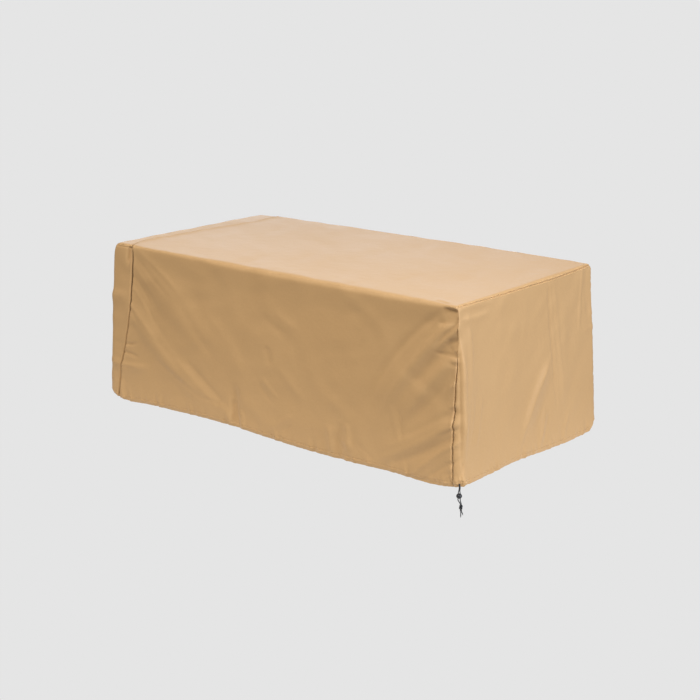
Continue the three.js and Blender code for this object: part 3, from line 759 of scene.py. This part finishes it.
def right_face(across, height):
    """The right end panel, by its distance along from the front corner and its height above the hem.

    Across is negative on the front wrap, 0 to DEPTH on the end, and above DEPTH on the back wrap."""
    z = height - DROP
    x = HALF_LENGTH + np.minimum(0, across) + np.minimum(0, DEPTH - across)
    y = np.clip(across, 0, DEPTH) - HALF_DEPTH
    front_wrap, back_wrap = right_wraps(height)
    from_front = across + front_wrap
    from_back = DEPTH + back_wrap - across
    from_top = -z - from_table(TOP_SEAM_DROP, y) + SEAM_OVERLAP / 2
    top_share = lerp(TOP_SEAM_AT_FRONT, 1, ease(across / DEPTH))
    extra = seam_rise("right", from_front, 0) + seam_rise("right", from_back, BACK_RIDGE)
    extra = tightness(-z) * extra
    extra = extra + seam_rise("top", from_top) * top_share + stitched(from_top)
    extra = extra + puckers(height, from_front, PUCKER_SHARE["right_front"] * PUCKER_HEIGHT["right"])
    extra = extra + puckers(height, from_back, PUCKER_HEIGHT["right"])
    extra = extra + puckers(across, from_top, PUCKER_HEIGHT["top"])
    extra = extra + hem_rise(height, across) + UNDERCUT_SHARE["right"] * undercut(-z)
    past_end = np.abs(height - SLIT_HEIGHT) - SLIT_HALF_LENGTH
    extra = extra - SLIT_DEPTH * bell(across, SLIT_WIDTH) * ease(-past_end / SLIT_END)
    # Painted shade in the seams' crevices: the share of the dark seam colour
    seam_shade = tightness(-z) * (bell(from_front, SEAM_SHADE["right"]) + bell(from_back, SEAM_SHADE["right"]))
    return np.stack([x, y, z], -1), extra, hem_thickness(height), seam_shade


def left_wall_face(across, height):
    """The left end panel's wall, by its distance along from the front corner and its height above the
    hem. Across is as in right_face."""
    z = height - DROP
    wrapped = np.maximum(0, -across) + np.maximum(0, across - DEPTH)
    place = np.stack([wrapped - HALF_LENGTH, np.clip(across, 0, DEPTH) - HALF_DEPTH, z], -1)
    extra = hem_rise(height, across) + UNDERCUT_SHARE["left"] * undercut(-z)
    extra = extra - DART_DIP * bell(-z - DART_DEPTH, DART_WIDTH) * ease((wrapped - DART_FROM) / DART_FADE)
    # Painted shade in the seams' crevices, added up over both seams
    seam_shade = 0
    for from_seam in (across + left_reach(z), DEPTH + left_reach(DEPTH - z) - across):
        extra = extra + seam_rise("left", from_seam, 0)
        extra = extra + puckers(z, from_seam, PUCKER_SHARE["left_wall"] * PUCKER_HEIGHT["left"])
        seam_shade = seam_shade + left_seam_shade(from_seam, -z)
    return place, extra, hem_thickness(height), seam_shade


def left_top_face(across, inward):
    """The left end panel's strip over the top edge, by the places across and inward from that edge."""
    y = np.clip(across, 0, DEPTH) - HALF_DEPTH
    from_seam = left_reach(y + HALF_DEPTH) - inward
    extra = seam_rise("left", from_seam, 0)
    extra = extra + puckers(y, from_seam, PUCKER_SHARE["left_top"] * PUCKER_HEIGHT["left"])
    place = np.stack([inward - HALF_LENGTH, y, np.zeros_like(y)], -1)
    # The last value is the painted shade in the seam's crevice
    return place, extra, np.full_like(extra, CLOTH), left_seam_shade(from_seam, HALF_DEPTH - np.abs(y))


# Meshes


def grid_quads(index):
    """The faces of a grid of point numbers, four corners each."""
    corners = [index[:-1, :-1], index[:-1, 1:], index[1:, 1:], index[1:, :-1]]
    return np.stack([corner.ravel() for corner in corners], -1)


def ring_index(rings, sides):
    """The point numbers of rings one after another, each with its first point again at its end."""
    index = np.arange(rings * sides).reshape(rings, sides)
    return np.concatenate([index, index[:, :1]], 1)


def capped(rings, first, last):
    """Points and faces of a row of rings of points, closed by a point at each end. The rings turn
    anticlockwise as seen from the first end, so that the faces point outwards."""
    count, sides = rings.shape[:2]
    index = ring_index(count, sides)
    cap = np.full(sides, count * sides)
    caps = [
        np.stack([index[0, :-1], index[0, 1:], cap], -1),
        np.stack([index[-1, 1:], index[-1, :-1], cap + 1], -1),
    ]
    points = np.concatenate([rings.reshape(-1, 3), [first, last]])
    return points, [grid_quads(index.T), np.concatenate(caps)]


def add_mesh(name, points, faces, material, uv=None):
    """A mesh piece from points in millimetres and a list of face arrays, shaded smooth."""
    mesh = bpy.data.meshes.new(name)
    loops = np.concatenate([face.ravel() for face in faces])
    totals = np.concatenate([np.full(len(face), face.shape[1]) for face in faces])
    mesh.vertices.add(len(points))
    mesh.vertices.foreach_set("co", (points * MM).astype(np.float32).ravel())
    mesh.loops.add(len(loops))
    mesh.loops.foreach_set("vertex_index", loops.astype(np.int32))
    mesh.polygons.add(len(totals))
    mesh.polygons.foreach_set("loop_start", (np.cumsum(totals) - totals).astype(np.int32))
    mesh.polygons.foreach_set("use_smooth", np.ones(len(totals), bool))
    mesh.update(calc_edges=True)
    mesh.validate()
    if uv is not None:
        layer = mesh.uv_layers.new(name="cloth")
        layer.data.foreach_set("uv", (uv[loops] * MM).astype(np.float32).ravel())
    mesh.materials.append(material)
    piece = bpy.data.objects.new(name, mesh)
    bpy.context.scene.collection.objects.link(piece)
    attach(piece, "root")
    return piece


def cloth_sheet(name, grids, material):
    """A closed sheet from grids of (place, extra, thickness, seam_shade, uv); seam_shade is painted shade
    in the seams, kept as a point attribute. Places that two grids share become one. The inner face lies
    a thickness behind the outer one, and a rim joins their edges."""
    place, extra, thickness, seam_shade, uv = (
        np.concatenate([part.reshape(-1, *part.shape[2:]) for part in parts]) for parts in zip(*grids))
    quads = []
    start = 0
    for grid in grids:
        rows, columns = grid[1].shape
        quads.append(grid_quads(start + np.arange(rows * columns).reshape(rows, columns)))
        start += rows * columns
    _, first, same = np.unique(place.round(4), axis=0, return_index=True, return_inverse=True)
    quads = same.ravel()[np.concatenate(quads)]
    outer, out = skin(place[first], extra[first])
    inner = outer - out * thickness[first][:, None]
    count = len(outer)
    edges = np.concatenate([quads[:, [side, (side + 1) % 4]] for side in range(4)])
    low, high = edges.min(1), edges.max(1)
    _, where, times = np.unique(low * count + high, return_index=True, return_counts=True)
    free = edges[where[times == 1]]
    rim = np.stack([free[:, 1], free[:, 0], free[:, 0] + count, free[:, 1] + count], -1)
    faces = [quads, quads[:, ::-1] + count, rim]
    points = np.concatenate([outer, inner])
    piece = add_mesh(name, points, faces, material, np.tile(uv[first], (2, 1)))
    # Painted shade in the seams' crevices, as a point attribute that darkens the base colour
    shade = piece.data.attributes.new("seam_line", "FLOAT", "POINT")
    shade.data.foreach_set("value", np.tile(seam_shade[first], 2).astype(np.float32))
    return piece


# The panels' stations: up from a hem, beside a seam, and beside the top edges and the corners, with
# the even steps between them
HEM_STATIONS = np.array([0, 0.5, 1.2, 2.4, 4.5, 7.5, 11, 14, 16, 17, 18, 20, 23, 27, 32])
SEAM_STEPS = graded(0.8, 1.2, 5.5, 200)
END_SEAM_STEPS = graded(0.7, 1.2, 6.5, 46)
EDGE_STEPS = graded(1.2, 1.25, 10, 60)
FRONT_STEP = 5.5
TOP_STEP = 26
BACK_STEP = 13
MIDDLE_STEP = 8.5
MAIN_LENGTH = LENGTH - 80
END_STEP = 6.5
RIGHT_CORNER_STEPS = {"front": graded(1.5, 1.12, 6, 60), "back": graded(1.5, 1.2, 9, 50)}
RIGHT_WRAP_SHARES = np.linspace(1, 0, 13)[:-1]
# The right end's rows follow the top seam down to this depth
TOP_SEAM_BEND = 60
LEFT_EDGE_STEPS = graded(1, 1.15, 9, 60)
LEFT_CORNER_STEPS = graded(1.5, 1.25, 10, 60)
LEFT_STEP = {"up": 10, "across": 12}
LEFT_WRAP_SHARES = np.concatenate([np.linspace(0, 0.75, 12)[:-1], np.linspace(0.75, 1, 9)])


def main_panel(material):
    """Rows run over the cover, and columns from the left seam to the right one, close beside both."""
    front = between(-DROP, 0, HEM_STATIONS, EDGE_STEPS, FRONT_STEP)
    top = between(0, DEPTH, EDGE_STEPS, EDGE_STEPS, TOP_STEP)
    back = between(DEPTH, DEPTH + DROP, EDGE_STEPS, HEM_STATIONS, BACK_STEP)
    run = np.concatenate([front, top[1:-1], back])[:, None]
    left, right = main_limits(run)
    reach = SEAM_STEPS[-1]
    share = np.linspace(0, 1, round((MAIN_LENGTH - 2 * reach) / MIDDLE_STEP) + 1)[1:-1]
    middle = lerp(left + reach, right - reach, share)
    along = np.concatenate([left + SEAM_STEPS, middle, right - SEAM_STEPS[::-1]], 1)
    run = run + 0 * along
    return cloth_sheet("cloth_main", [(*main_face(along, run), np.stack([along, run], -1))], material)


def right_end_panel(material):
    """Rows run up from the hem, the upper ones bent to the top seam, and columns run from the front wrap
    over the end to the back wrap."""
    base = between(0, DROP, HEM_STATIONS, END_SEAM_STEPS, END_STEP)[:, None]
    end = between(0, DEPTH, RIGHT_CORNER_STEPS["front"], RIGHT_CORNER_STEPS["back"], END_STEP)
    front_wrap, back_wrap = right_wraps(base)
    before = -front_wrap * RIGHT_WRAP_SHARES
    after = DEPTH + back_wrap * RIGHT_WRAP_SHARES[::-1]
    across = np.concatenate([before, end + 0 * base, after], 1)
    on_end = ease(across + 1) * ease(DEPTH + 1 - across)
    drop = from_table(TOP_SEAM_DROP, np.clip(across, 0, DEPTH) - HALF_DEPTH) * on_end - SEAM_OVERLAP / 2
    height = base - drop * np.clip(1 + (base - DROP) / TOP_SEAM_BEND, 0, 1)
    uv = np.stack([across, height], -1)
    return cloth_sheet("cloth_right_end", [(*right_face(across, height), uv)], material)


def left_end_panel(material):
    """A wall, whose rows run up from the hem and whose columns run from the back wrap over the end to
    the front wrap, and a strip over the top edge, whose rows run from front to back."""
    base = between(0, DROP, HEM_STATIONS, LEFT_EDGE_STEPS, LEFT_STEP["up"])[:, None]
    end = between(0, DEPTH, LEFT_CORNER_STEPS, LEFT_CORNER_STEPS, LEFT_STEP["across"])
    back_wrap = left_reach(DEPTH + DROP - base) * LEFT_WRAP_SHARES[:0:-1]
    front_wrap = left_reach(base - DROP) * LEFT_WRAP_SHARES[1:]
    across = np.concatenate([DEPTH + back_wrap, (end + 0 * base)[:, ::-1], -front_wrap], 1)
    height = base + 0 * across
    wall = (*left_wall_face(across, height), np.stack([across, height - DROP], -1))
    inward = left_reach(end)[:, None] * LEFT_WRAP_SHARES
    across = end[:, None] + 0 * inward
    strip = (*left_top_face(across, inward), np.stack([across, inward], -1))
    return cloth_sheet("cloth_left_end", [wall, strip], material)


def stitch_row(face, first, second, length):
    """Centres, ways and outs of a row of stitches on a face, as many as the length holds: first(t) and
    second(t) give its two coordinates at shares of the row."""
    count = round(length / STITCH_PITCH)
    t = (np.arange(count) + 0.5) / count
    nudge = STITCH_NUDGE / count
    place, extra, *_ = face(first(t), second(t))
    centre, out = skin(place, extra)
    ahead, extra, *_ = face(first(t + nudge), second(t + nudge))
    way = unit(skin(ahead, extra)[0] - centre)
    return centre, way, out


def stitches(name, rows, material):
    """Stitches as short round arcs: at s from -1 to 1, a stitch's middle lies s half lengths along its
    way and stands off the cloth by its lift less twice the lift times the square of s, and its radius is
    that of a ball there."""
    centre, way, out = (np.concatenate(parts)[:, None, None, :] for parts in zip(*rows))
    rings = STITCH_RINGS + 1
    s = -np.cos(np.pi * np.arange(rings) / STITCH_RINGS)[None, :, None, None]
    angle = -TURN * np.arange(STITCH_SIDES)[:, None] / STITCH_SIDES
    around = np.cross(out, way) * np.cos(angle) + out * np.sin(angle)
    middle = centre + way * s * STITCH_LENGTH / 2 + out * STITCH_LIFT * (1 - 2 * s**2)
    points = middle + around * STITCH_RADIUS * np.sqrt(np.clip(1 - s**2, STITCH_END, 1))
    index = ring_index(rings, STITCH_SIDES)
    caps = np.stack([index[0, :-1], index[-1, :-1][::-1]])
    starts = np.arange(len(centre))[:, None, None] * rings * STITCH_SIDES
    faces = [(grid_quads(index.T) + starts).reshape(-1, 4), (caps + starts).reshape(-1, STITCH_SIDES)]
    return add_mesh(name, points.reshape(-1, 3), faces, material)


def over(low, high):
    """A row's coordinate that goes from low to high as t goes from 0 to 1."""
    return lambda t: lerp(low, high, t)


def main_stitches(material):
    """Rows beside the left seam, beside the right seam on the front and the back, and along both hems."""

    def beside(seam, low, high):
        inset = TOPSTITCH if seam == 0 else -TOPSTITCH
        return lambda t: main_limits(lerp(low, high, t))[seam] + inset

    whole = (-DROP, DEPTH + DROP)
    rows = [stitch_row(main_face, beside(0, *whole), over(*whole), DEPTH + 2 * DROP)]
    for wall in [(-DROP, -STITCHES_STOP), (DEPTH + STITCHES_STOP, DEPTH + DROP)]:
        rows.append(stitch_row(main_face, beside(1, *wall), over(*wall), DROP))
    for run in [-DROP + HEM_TURN, DEPTH + DROP - HEM_TURN]:
        left, right = main_limits(np.array(run))
        along = over(left + HEM_INSET, right - HEM_INSET)
        rows.append(stitch_row(main_face, along, over(run, run), right - left))
    return stitches("stitches_main", rows, material)


def right_stitches(material):
    """Rows under the top seam and along the hem."""

    def under_top(t):
        return DROP - from_table(TOP_SEAM_DROP, lerp(0, DEPTH, t) - HALF_DEPTH) - TOPSTITCH

    across = over(STITCHES_INSET, DEPTH - STITCHES_INSET)
    rows = [
        stitch_row(right_face, across, under_top, DEPTH),
        stitch_row(right_face, over(*HEM_ROW["right"]), over(HEM_TURN, HEM_TURN), DEPTH),
    ]
    return stitches("stitches_right_end", rows, material)


def left_stitches(material):
    """A row along the hem."""
    row = stitch_row(left_wall_face, over(*HEM_ROW["left"]), over(HEM_TURN, HEM_TURN), LEFT_HEM_LENGTH)
    return stitches("stitches_left_end", [row], material)


# Drawcord


def slit_point():
    """The slit on the corner, where the solids have it: without slack or creases."""
    place = np.array([[HALF_LENGTH, -HALF_DEPTH, SLIT_HEIGHT - DROP]], float)
    return skin(place, -slack_rise(place), (FOLDS,))[0][0]


def cord_place(drop, out, sway):
    """A place by the cord, by its drop below the hem, its distance out from the slit and its sway."""
    place = SLIT + CORNER_OUT * out + CORNER_ALONG * sway
    place[2] -= drop + SLIT_HEIGHT
    return place


def smooth_path(points, steps):
    """A curve through points: on each stretch, the cubic whose ends lean along their neighbours'
    chord."""
    points = np.array(points)
    padded = np.concatenate([[2 * points[0] - points[1]], points, [2 * points[-1] - points[-2]]])
    before, start, end, after = (padded[first:len(padded) - 3 + first, None] for first in range(4))
    t = (np.arange(steps) / steps)[None, :, None]
    curve = start + 0.5 * t * (end - before)
    curve = curve + t**2 * (before - 2.5 * start + 2 * end - 0.5 * after)
    curve = curve + t**3 * (1.5 * (start - end) + 0.5 * (after - before))
    return np.concatenate([curve.reshape(-1, 3), points[-1:]])


def travelled(path):
    """The way along a path to each of its points."""
    return np.concatenate([[0], np.cumsum(np.linalg.norm(np.diff(path, axis=0), axis=1))])


def tube(path, radius, reference, sides, braid=0):
    """Points and faces of a round tube along a path, closed by a point at each end.

    Each ring is a circle square to the path, whose radius also waves with the angle and the way along,
    crosswise, by the braid's share."""
    way = unit(np.gradient(path, axis=0))
    side = unit(np.cross(way, reference))
    up = np.cross(side, way)
    angle = (TURN * np.arange(sides) / sides)[:, None]
    climb = travelled(path)[:, None, None] * TURN / BRAID_PITCH
    weave = np.maximum(np.sin(angle * BRAID_THREADS + climb), np.sin(angle * BRAID_THREADS - climb))
    ring = side[:, None] * np.cos(angle) + up[:, None] * np.sin(angle)
    rings = path[:, None] + ring * radius[:, None, None] * (1 + braid * weave)
    return capped(rings, path[0], path[-1])


def joined(parts):
    """Several tubes, each (points, [quads, triangles]), as one."""
    points, faces = zip(*parts)
    starts = np.cumsum([0] + [len(part) for part in points])
    return np.concatenate(points), [
        np.concatenate([face + start for face, start in zip(kind, starts)]) for kind in zip(*faces)]


def strand(side, material):
    """One strand of the drawcord, from the slit through the lock and the knot to its tip. Its radius
    is that of a ball at both ends."""
    sign = -1 if side == "left" else 1
    way = STRAND_WAY + STRAND_TIPS[side]
    path = smooth_path([cord_place(drop, out, sway + sign * apart) for drop, out, sway, apart in way],
                       STRAND_STEPS)
    along = travelled(path)
    from_end = np.minimum(along, along[-1] - along) / (CORD / 2)
    radius = CORD / 2 * np.sqrt(np.clip(1 - (1 - np.minimum(from_end, 1)) ** 2, STRAND_END, 1))
    points, faces = tube(path, radius, CORNER_ALONG, STRAND_SIDES, BRAID)
    piece = add_mesh(f"cord_strand_{side}", points, faces, material)
    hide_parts(f"drawcord_{side}")
    return piece, path, along[-1]


def frayed_tip(side, path, material):
    """Fine fibres that fan out of a strand's cut end, each leaning its own random way."""
    random = np.random.default_rng(FIBRE_SEED[side])
    end = path[-1]
    way = unit(path[-1] - path[-4])
    parts = []
    for _ in range(FIBRES):
        lean = unit(random.normal(size=3))
        reach = random.uniform(*FIBRE_REACH)
        start = end - way * FIBRE_ROOT[0] + lean * FIBRE_ROOT[1]
        bend = end + way * reach * FIBRE_BEND[0] + lean * FIBRE_BEND[1]
        tip = end + way * reach + lean * random.uniform(*FIBRE_SPREAD)
        fibre = smooth_path([start, bend, tip], FIBRE_STEPS)
        parts.append(tube(fibre, np.linspace(*FIBRE_RADIUS, len(fibre)), CORNER_ALONG, FIBRE_SIDES))
    points, faces = joined(parts)
    piece = add_mesh(f"cord_tip_{side}", points, faces, material)
    return piece


def ball(width, height, rings, sides):
    """A squat ball: circles whose radius is the sine, and height the cosine, of the way from its top."""
    down = (np.pi * np.arange(1, rings) / rings)[:, None]
    angle = (TURN * np.arange(sides) / sides)[None]
    circles = np.stack([
        width / 2 * np.sin(down) * np.cos(angle),
        width / 2 * np.sin(down) * np.sin(angle),
        height / 2 * np.cos(down) + 0 * angle,
    ], -1)
    return capped(circles, [0, 0, height / 2], [0, 0, -height / 2])


def lock_ball(material):
    """The ball lock: a squat ball that both strands pass through."""
    points, faces = ball(LOCK_WIDTH, LOCK_HEIGHT, *LOCK_GRID)
    piece = add_mesh("lock_ball", points + cord_place(LOCK_DROP, CORD_OUT, LOCK_SWAY), faces, material)
    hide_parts("cord_lock")
    return piece


def knot_wraps(material):
    """The stopper knot: a helix of the cord down round both strands, and one turn over it that slants
    as a circle whose height is a cosine of its angle."""
    t = np.linspace(0, 1, KNOT_STATIONS)[:, None]
    axes = np.array([CORNER_ALONG, CORNER_OUT, UP])
    reach = (KNOT_WIDTH - CORD) / 2
    half_climb = (KNOT_HEIGHT - CORD) / 2
    helix_angle = TURN * KNOT_TURNS * t
    helix = np.concatenate([reach * np.cos(helix_angle), reach * np.sin(helix_angle),
                            lerp(half_climb, -half_climb, t)], 1)
    angle = TURN * lerp(*KNOT_OVER_TURNS, t)
    reach = reach + KNOT_OVER_OUT
    over_turn = np.concatenate([reach * np.cos(angle), reach * np.sin(angle),
                                KNOT_OVER_RISE * np.cos(angle + KNOT_OVER_LAG)], 1)
    centre = cord_place(KNOT_DROP, CORD_OUT, KNOT_SWAY)
    radius = np.full(KNOT_STATIONS, CORD / 2)
    points, faces = joined([tube(centre + turns @ axes, radius, UP, KNOT_SIDES, BRAID)
                            for turns in (helix, over_turn)])
    piece = add_mesh("knot_wraps", points, faces, material)
    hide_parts("cord_knot")
    return piece


# Materials


class Socket:
    """A node's output, with which Python expressions write shader maths."""

    def __init__(self, shader, link):
        self.shader = shader
        self.link = link

    def _math(self, operation, *values):
        return self.shader.node("ShaderNodeMath", {"operation": operation}, dict(enumerate(values)))

    def __add__(self, other):
        return self._math("ADD", self, other)

    def __mul__(self, other):
        return self._math("MULTIPLY", self, other)

    def __radd__(self, other):
        return self._math("ADD", other, self)

    def __rmul__(self, other):
        return self._math("MULTIPLY", other, self)

    def sine(self):
        return self._math("SINE", self)

    def size(self):
        return self._math("ABSOLUTE", self)


class Finish:
    """A material with a Principled shader, and the nodes that feed it."""

    def __init__(self, name, **uniform):
        self.material = bpy.data.materials.new(name)
        self.material.use_nodes = True
        self.tree = self.material.node_tree
        self.shader = self.tree.nodes["Principled BSDF"]
        for name, value in uniform.items():
            socket = name.replace("_", " ").title().replace("Ior", "IOR")
            self.shader.inputs[socket].default_value = value

    def node(self, kind, settings, values, output=0):
        """A node of a kind, its settings set first, then the values or links of its sockets."""
        node = self.tree.nodes.new(kind)
        for setting, value in settings.items():
            if setting == "stops":
                self.set_stops(node.color_ramp.elements, value)
            else:
                setattr(node, setting, value)
        for socket, value in values.items():
            self.join(node.inputs[socket], value)
        return Socket(self, node.outputs[output])

    @staticmethod
    def set_stops(elements, stops):
        """A colour ramp's stops, each a place and a colour."""
        while len(elements) < len(stops):
            elements.new(1)
        for element, (place, colour) in zip(elements, stops):
            element.position = place
            element.color = colour

    def join(self, socket, value):
        """A socket's link, or its value."""
        if isinstance(value, Socket):
            self.tree.links.new(value.link, socket)
        else:
            socket.default_value = value

    def feed(self, socket, value):
        """One of the shader's own sockets."""
        self.join(self.shader.inputs[socket], value)

    def noise(self, scale, detail=3, roughness=0.5, vector=None):
        """Noise on the piece's own coordinates, or on another vector."""
        vector = vector or self.node("ShaderNodeTexCoord", {}, {}, "Object")
        values = {"Scale": scale, "Detail": detail, "Roughness": roughness, "Vector": vector}
        return self.node("ShaderNodeTexNoise", {}, values)

    def ramp(self, share, *stops):
        """A colour from a ramp's stops, by a share."""
        return self.node("ShaderNodeValToRGB", {"stops": stops}, {0: share})

    def mixed(self, share, first, second):
        """A colour between two, by a share. Sockets 6, 7 and 2 are the Mix node's colours."""
        return self.node("ShaderNodeMix", {"data_type": "RGBA"}, {0: share, 6: first, 7: second}, 2)

    def bump(self, height, strength, distance):
        """Small relief in the shading, from a height."""
        values = {"Height": height, "Strength": strength, "Distance": distance}
        self.feed("Normal", self.node("ShaderNodeBump", {}, values))


def cloth_finish():
    """Coated polyester: a plain weave of fine threads, faintly uneven in colour, with a soft sheen."""
    finish = Finish("cloth", sheen_weight=0.1, sheen_roughness=0.4, specular_ior_level=0.34)
    uv = finish.node("ShaderNodeUVMap", {"uv_map": "cloth"}, {})
    warp, weft = (finish.node("ShaderNodeSeparateXYZ", {}, {0: uv}, way) * (TURN / WEAVE_PITCH / 2)
                  for way in (0, 1))
    weave = warp.sine().size() * 0.5 + weft.sine().size() * 0.5
    patches = finish.noise(PATCH_SCALE, 2)
    grain = finish.noise(GRAIN_SCALE, 2)
    stretched = finish.node("ShaderNodeMapping", {}, {"Vector": uv, "Scale": STREAK_SCALE})
    streaks = finish.noise(1, 2, 0.5, stretched)
    tone = patches * TONE["patches"] + grain * TONE["grain"] + streaks * TONE["streaks"]
    colour = finish.ramp(tone, (0.25, CLOTH_DARK), (0.5, CLOTH_COLOUR), (0.75, CLOTH_LIGHT))
    # Painted shade: the base colour darkens towards the seam colour in the seams' crevices
    seam_shade = finish.node("ShaderNodeAttribute", {"attribute_name": "seam_line"}, {}, "Fac")
    finish.feed("Base Color", finish.mixed(seam_shade, colour, SEAM_SHADE_COLOUR))
    finish.feed("Roughness", 0.5 + 0.16 * patches)
    crumple = finish.noise(CRUMPLE_SCALE, 4, 0.62)
    relief = weave * RELIEF["weave"] + grain * RELIEF["grain"] + crumple * RELIEF["crumple"]
    finish.bump(relief, RELIEF_STRENGTH, RELIEF_DEPTH)
    return finish.material


def thread_finish():
    """Polyester thread, a little darker than the cloth."""
    finish = Finish("thread", roughness=0.6)
    grain = finish.noise(THREAD_GRAIN, 2)
    finish.feed("Base Color", finish.ramp(grain, (0.3, THREAD_DARK), (0.7, THREAD_LIGHT)))
    return finish.material


def cord_finish(name, dark, light):
    """Braided polyester cord."""
    finish = Finish(name, roughness=0.72, specular_ior_level=0.35)
    fuzz = finish.noise(CORD_FUZZ, 3)
    finish.feed("Base Color", finish.ramp(fuzz, (0.35, dark), (0.7, light)))
    finish.bump(fuzz, 0.5, 0.15 * MM)
    return finish.material


def lock_finish():
    """Moulded black plastic with a fine satin texture."""
    finish = Finish("lock", specular_ior_level=0.5)
    grain = finish.noise(LOCK_GRAIN, 3)
    finish.feed("Base Color", finish.ramp(grain, (0.3, LOCK_DARK), (0.8, LOCK_LIGHT)))
    finish.feed("Roughness", 0.36 + 0.18 * grain)
    finish.bump(grain, 0.15, 0.08 * MM)
    return finish.material


# Stage


def make_stage():
    """A plain pale backdrop all round, without shadows, as in the photograph."""
    finish = Finish("stage")
    glow = finish.node("ShaderNodeEmission", {}, {"Color": (BACKGROUND, BACKGROUND, BACKGROUND, 1)})
    finish.join(finish.tree.nodes["Material Output"].inputs["Surface"], glow)
    points, faces = ball(BACKDROP_WIDTH, BACKDROP_WIDTH, *BACKDROP_GRID)
    mesh = bpy.data.meshes.new("backdrop")
    mesh.from_pydata((points * MM).tolist(), [], [list(face) for group in faces for face in group])
    mesh.materials.append(finish.material)
    backdrop = bpy.data.objects.new("backdrop", mesh)
    bpy.context.scene.collection.objects.link(backdrop)
    backdrop.visible_diffuse = False
    backdrop.visible_glossy = False
    backdrop.visible_shadow = False


def area_light(name, place, towards, size, power, colour):
    """A soft flat light at a place, facing a point; its size is its width and its height."""
    data = bpy.data.lights.new(name, "AREA")
    data.shape = "RECTANGLE"
    data.size, data.size_y = size
    data.energy = power
    data.color = colour
    light = bpy.data.objects.new(name, data)
    light.location = place
    light.visible_camera = False
    way = np.subtract(towards, place)
    yaw = math.atan2(-way[0], way[1])
    pitch = math.atan2(math.hypot(way[0], way[1]), -way[2])
    light.rotation_euler = (pitch, 0, yaw)
    bpy.context.scene.collection.objects.link(light)


def make_lights():
    """Soft studio light: an even sky and the area lights, with colours shown as they are."""
    world = bpy.data.worlds.new("sky")
    world.use_nodes = True
    sky = world.node_tree.nodes["Background"]
    sky.inputs["Color"].default_value = (1, 1, 1, 1)
    sky.inputs["Strength"].default_value = SKY
    bpy.context.scene.world = world
    for name, light in LIGHTS.items():
        area_light(name, *light)
    bpy.context.scene.view_settings.view_transform = "Standard"


# Making

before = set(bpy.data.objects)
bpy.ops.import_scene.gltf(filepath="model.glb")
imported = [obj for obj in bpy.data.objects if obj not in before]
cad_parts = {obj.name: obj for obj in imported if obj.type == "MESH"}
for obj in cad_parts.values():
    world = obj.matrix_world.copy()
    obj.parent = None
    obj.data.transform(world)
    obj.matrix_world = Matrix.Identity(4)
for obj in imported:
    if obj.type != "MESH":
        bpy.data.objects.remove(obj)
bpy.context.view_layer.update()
make_camera()
SLIT = slit_point()

cord_black = cord_finish("cord", CORD_DARK, CORD_LIGHT)
fibre_grey = cord_finish("fibres", FIBRE_DARK, FIBRE_LIGHT)
lock = lock_ball(lock_finish())
knot = knot_wraps(cord_black)
for side in ("left", "right"):
    piece, path, length = strand(side, cord_black)
    tip = frayed_tip(side, path, fibre_grey)
    SLIT * MM

cloth = cloth_finish()
thread = thread_finish()
panels = {"main": main_panel(cloth), "left": left_end_panel(cloth), "right": right_end_panel(cloth)}
sewing = {"main": main_stitches(thread), "left": left_stitches(thread), "right": right_stitches(thread)}
nodes = {"main": "main_panel", "left": "left_end_panel", "right": "right_end_panel"}
for name, panel in panels.items():
    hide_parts(nodes[name])

make_stage()
make_lights()
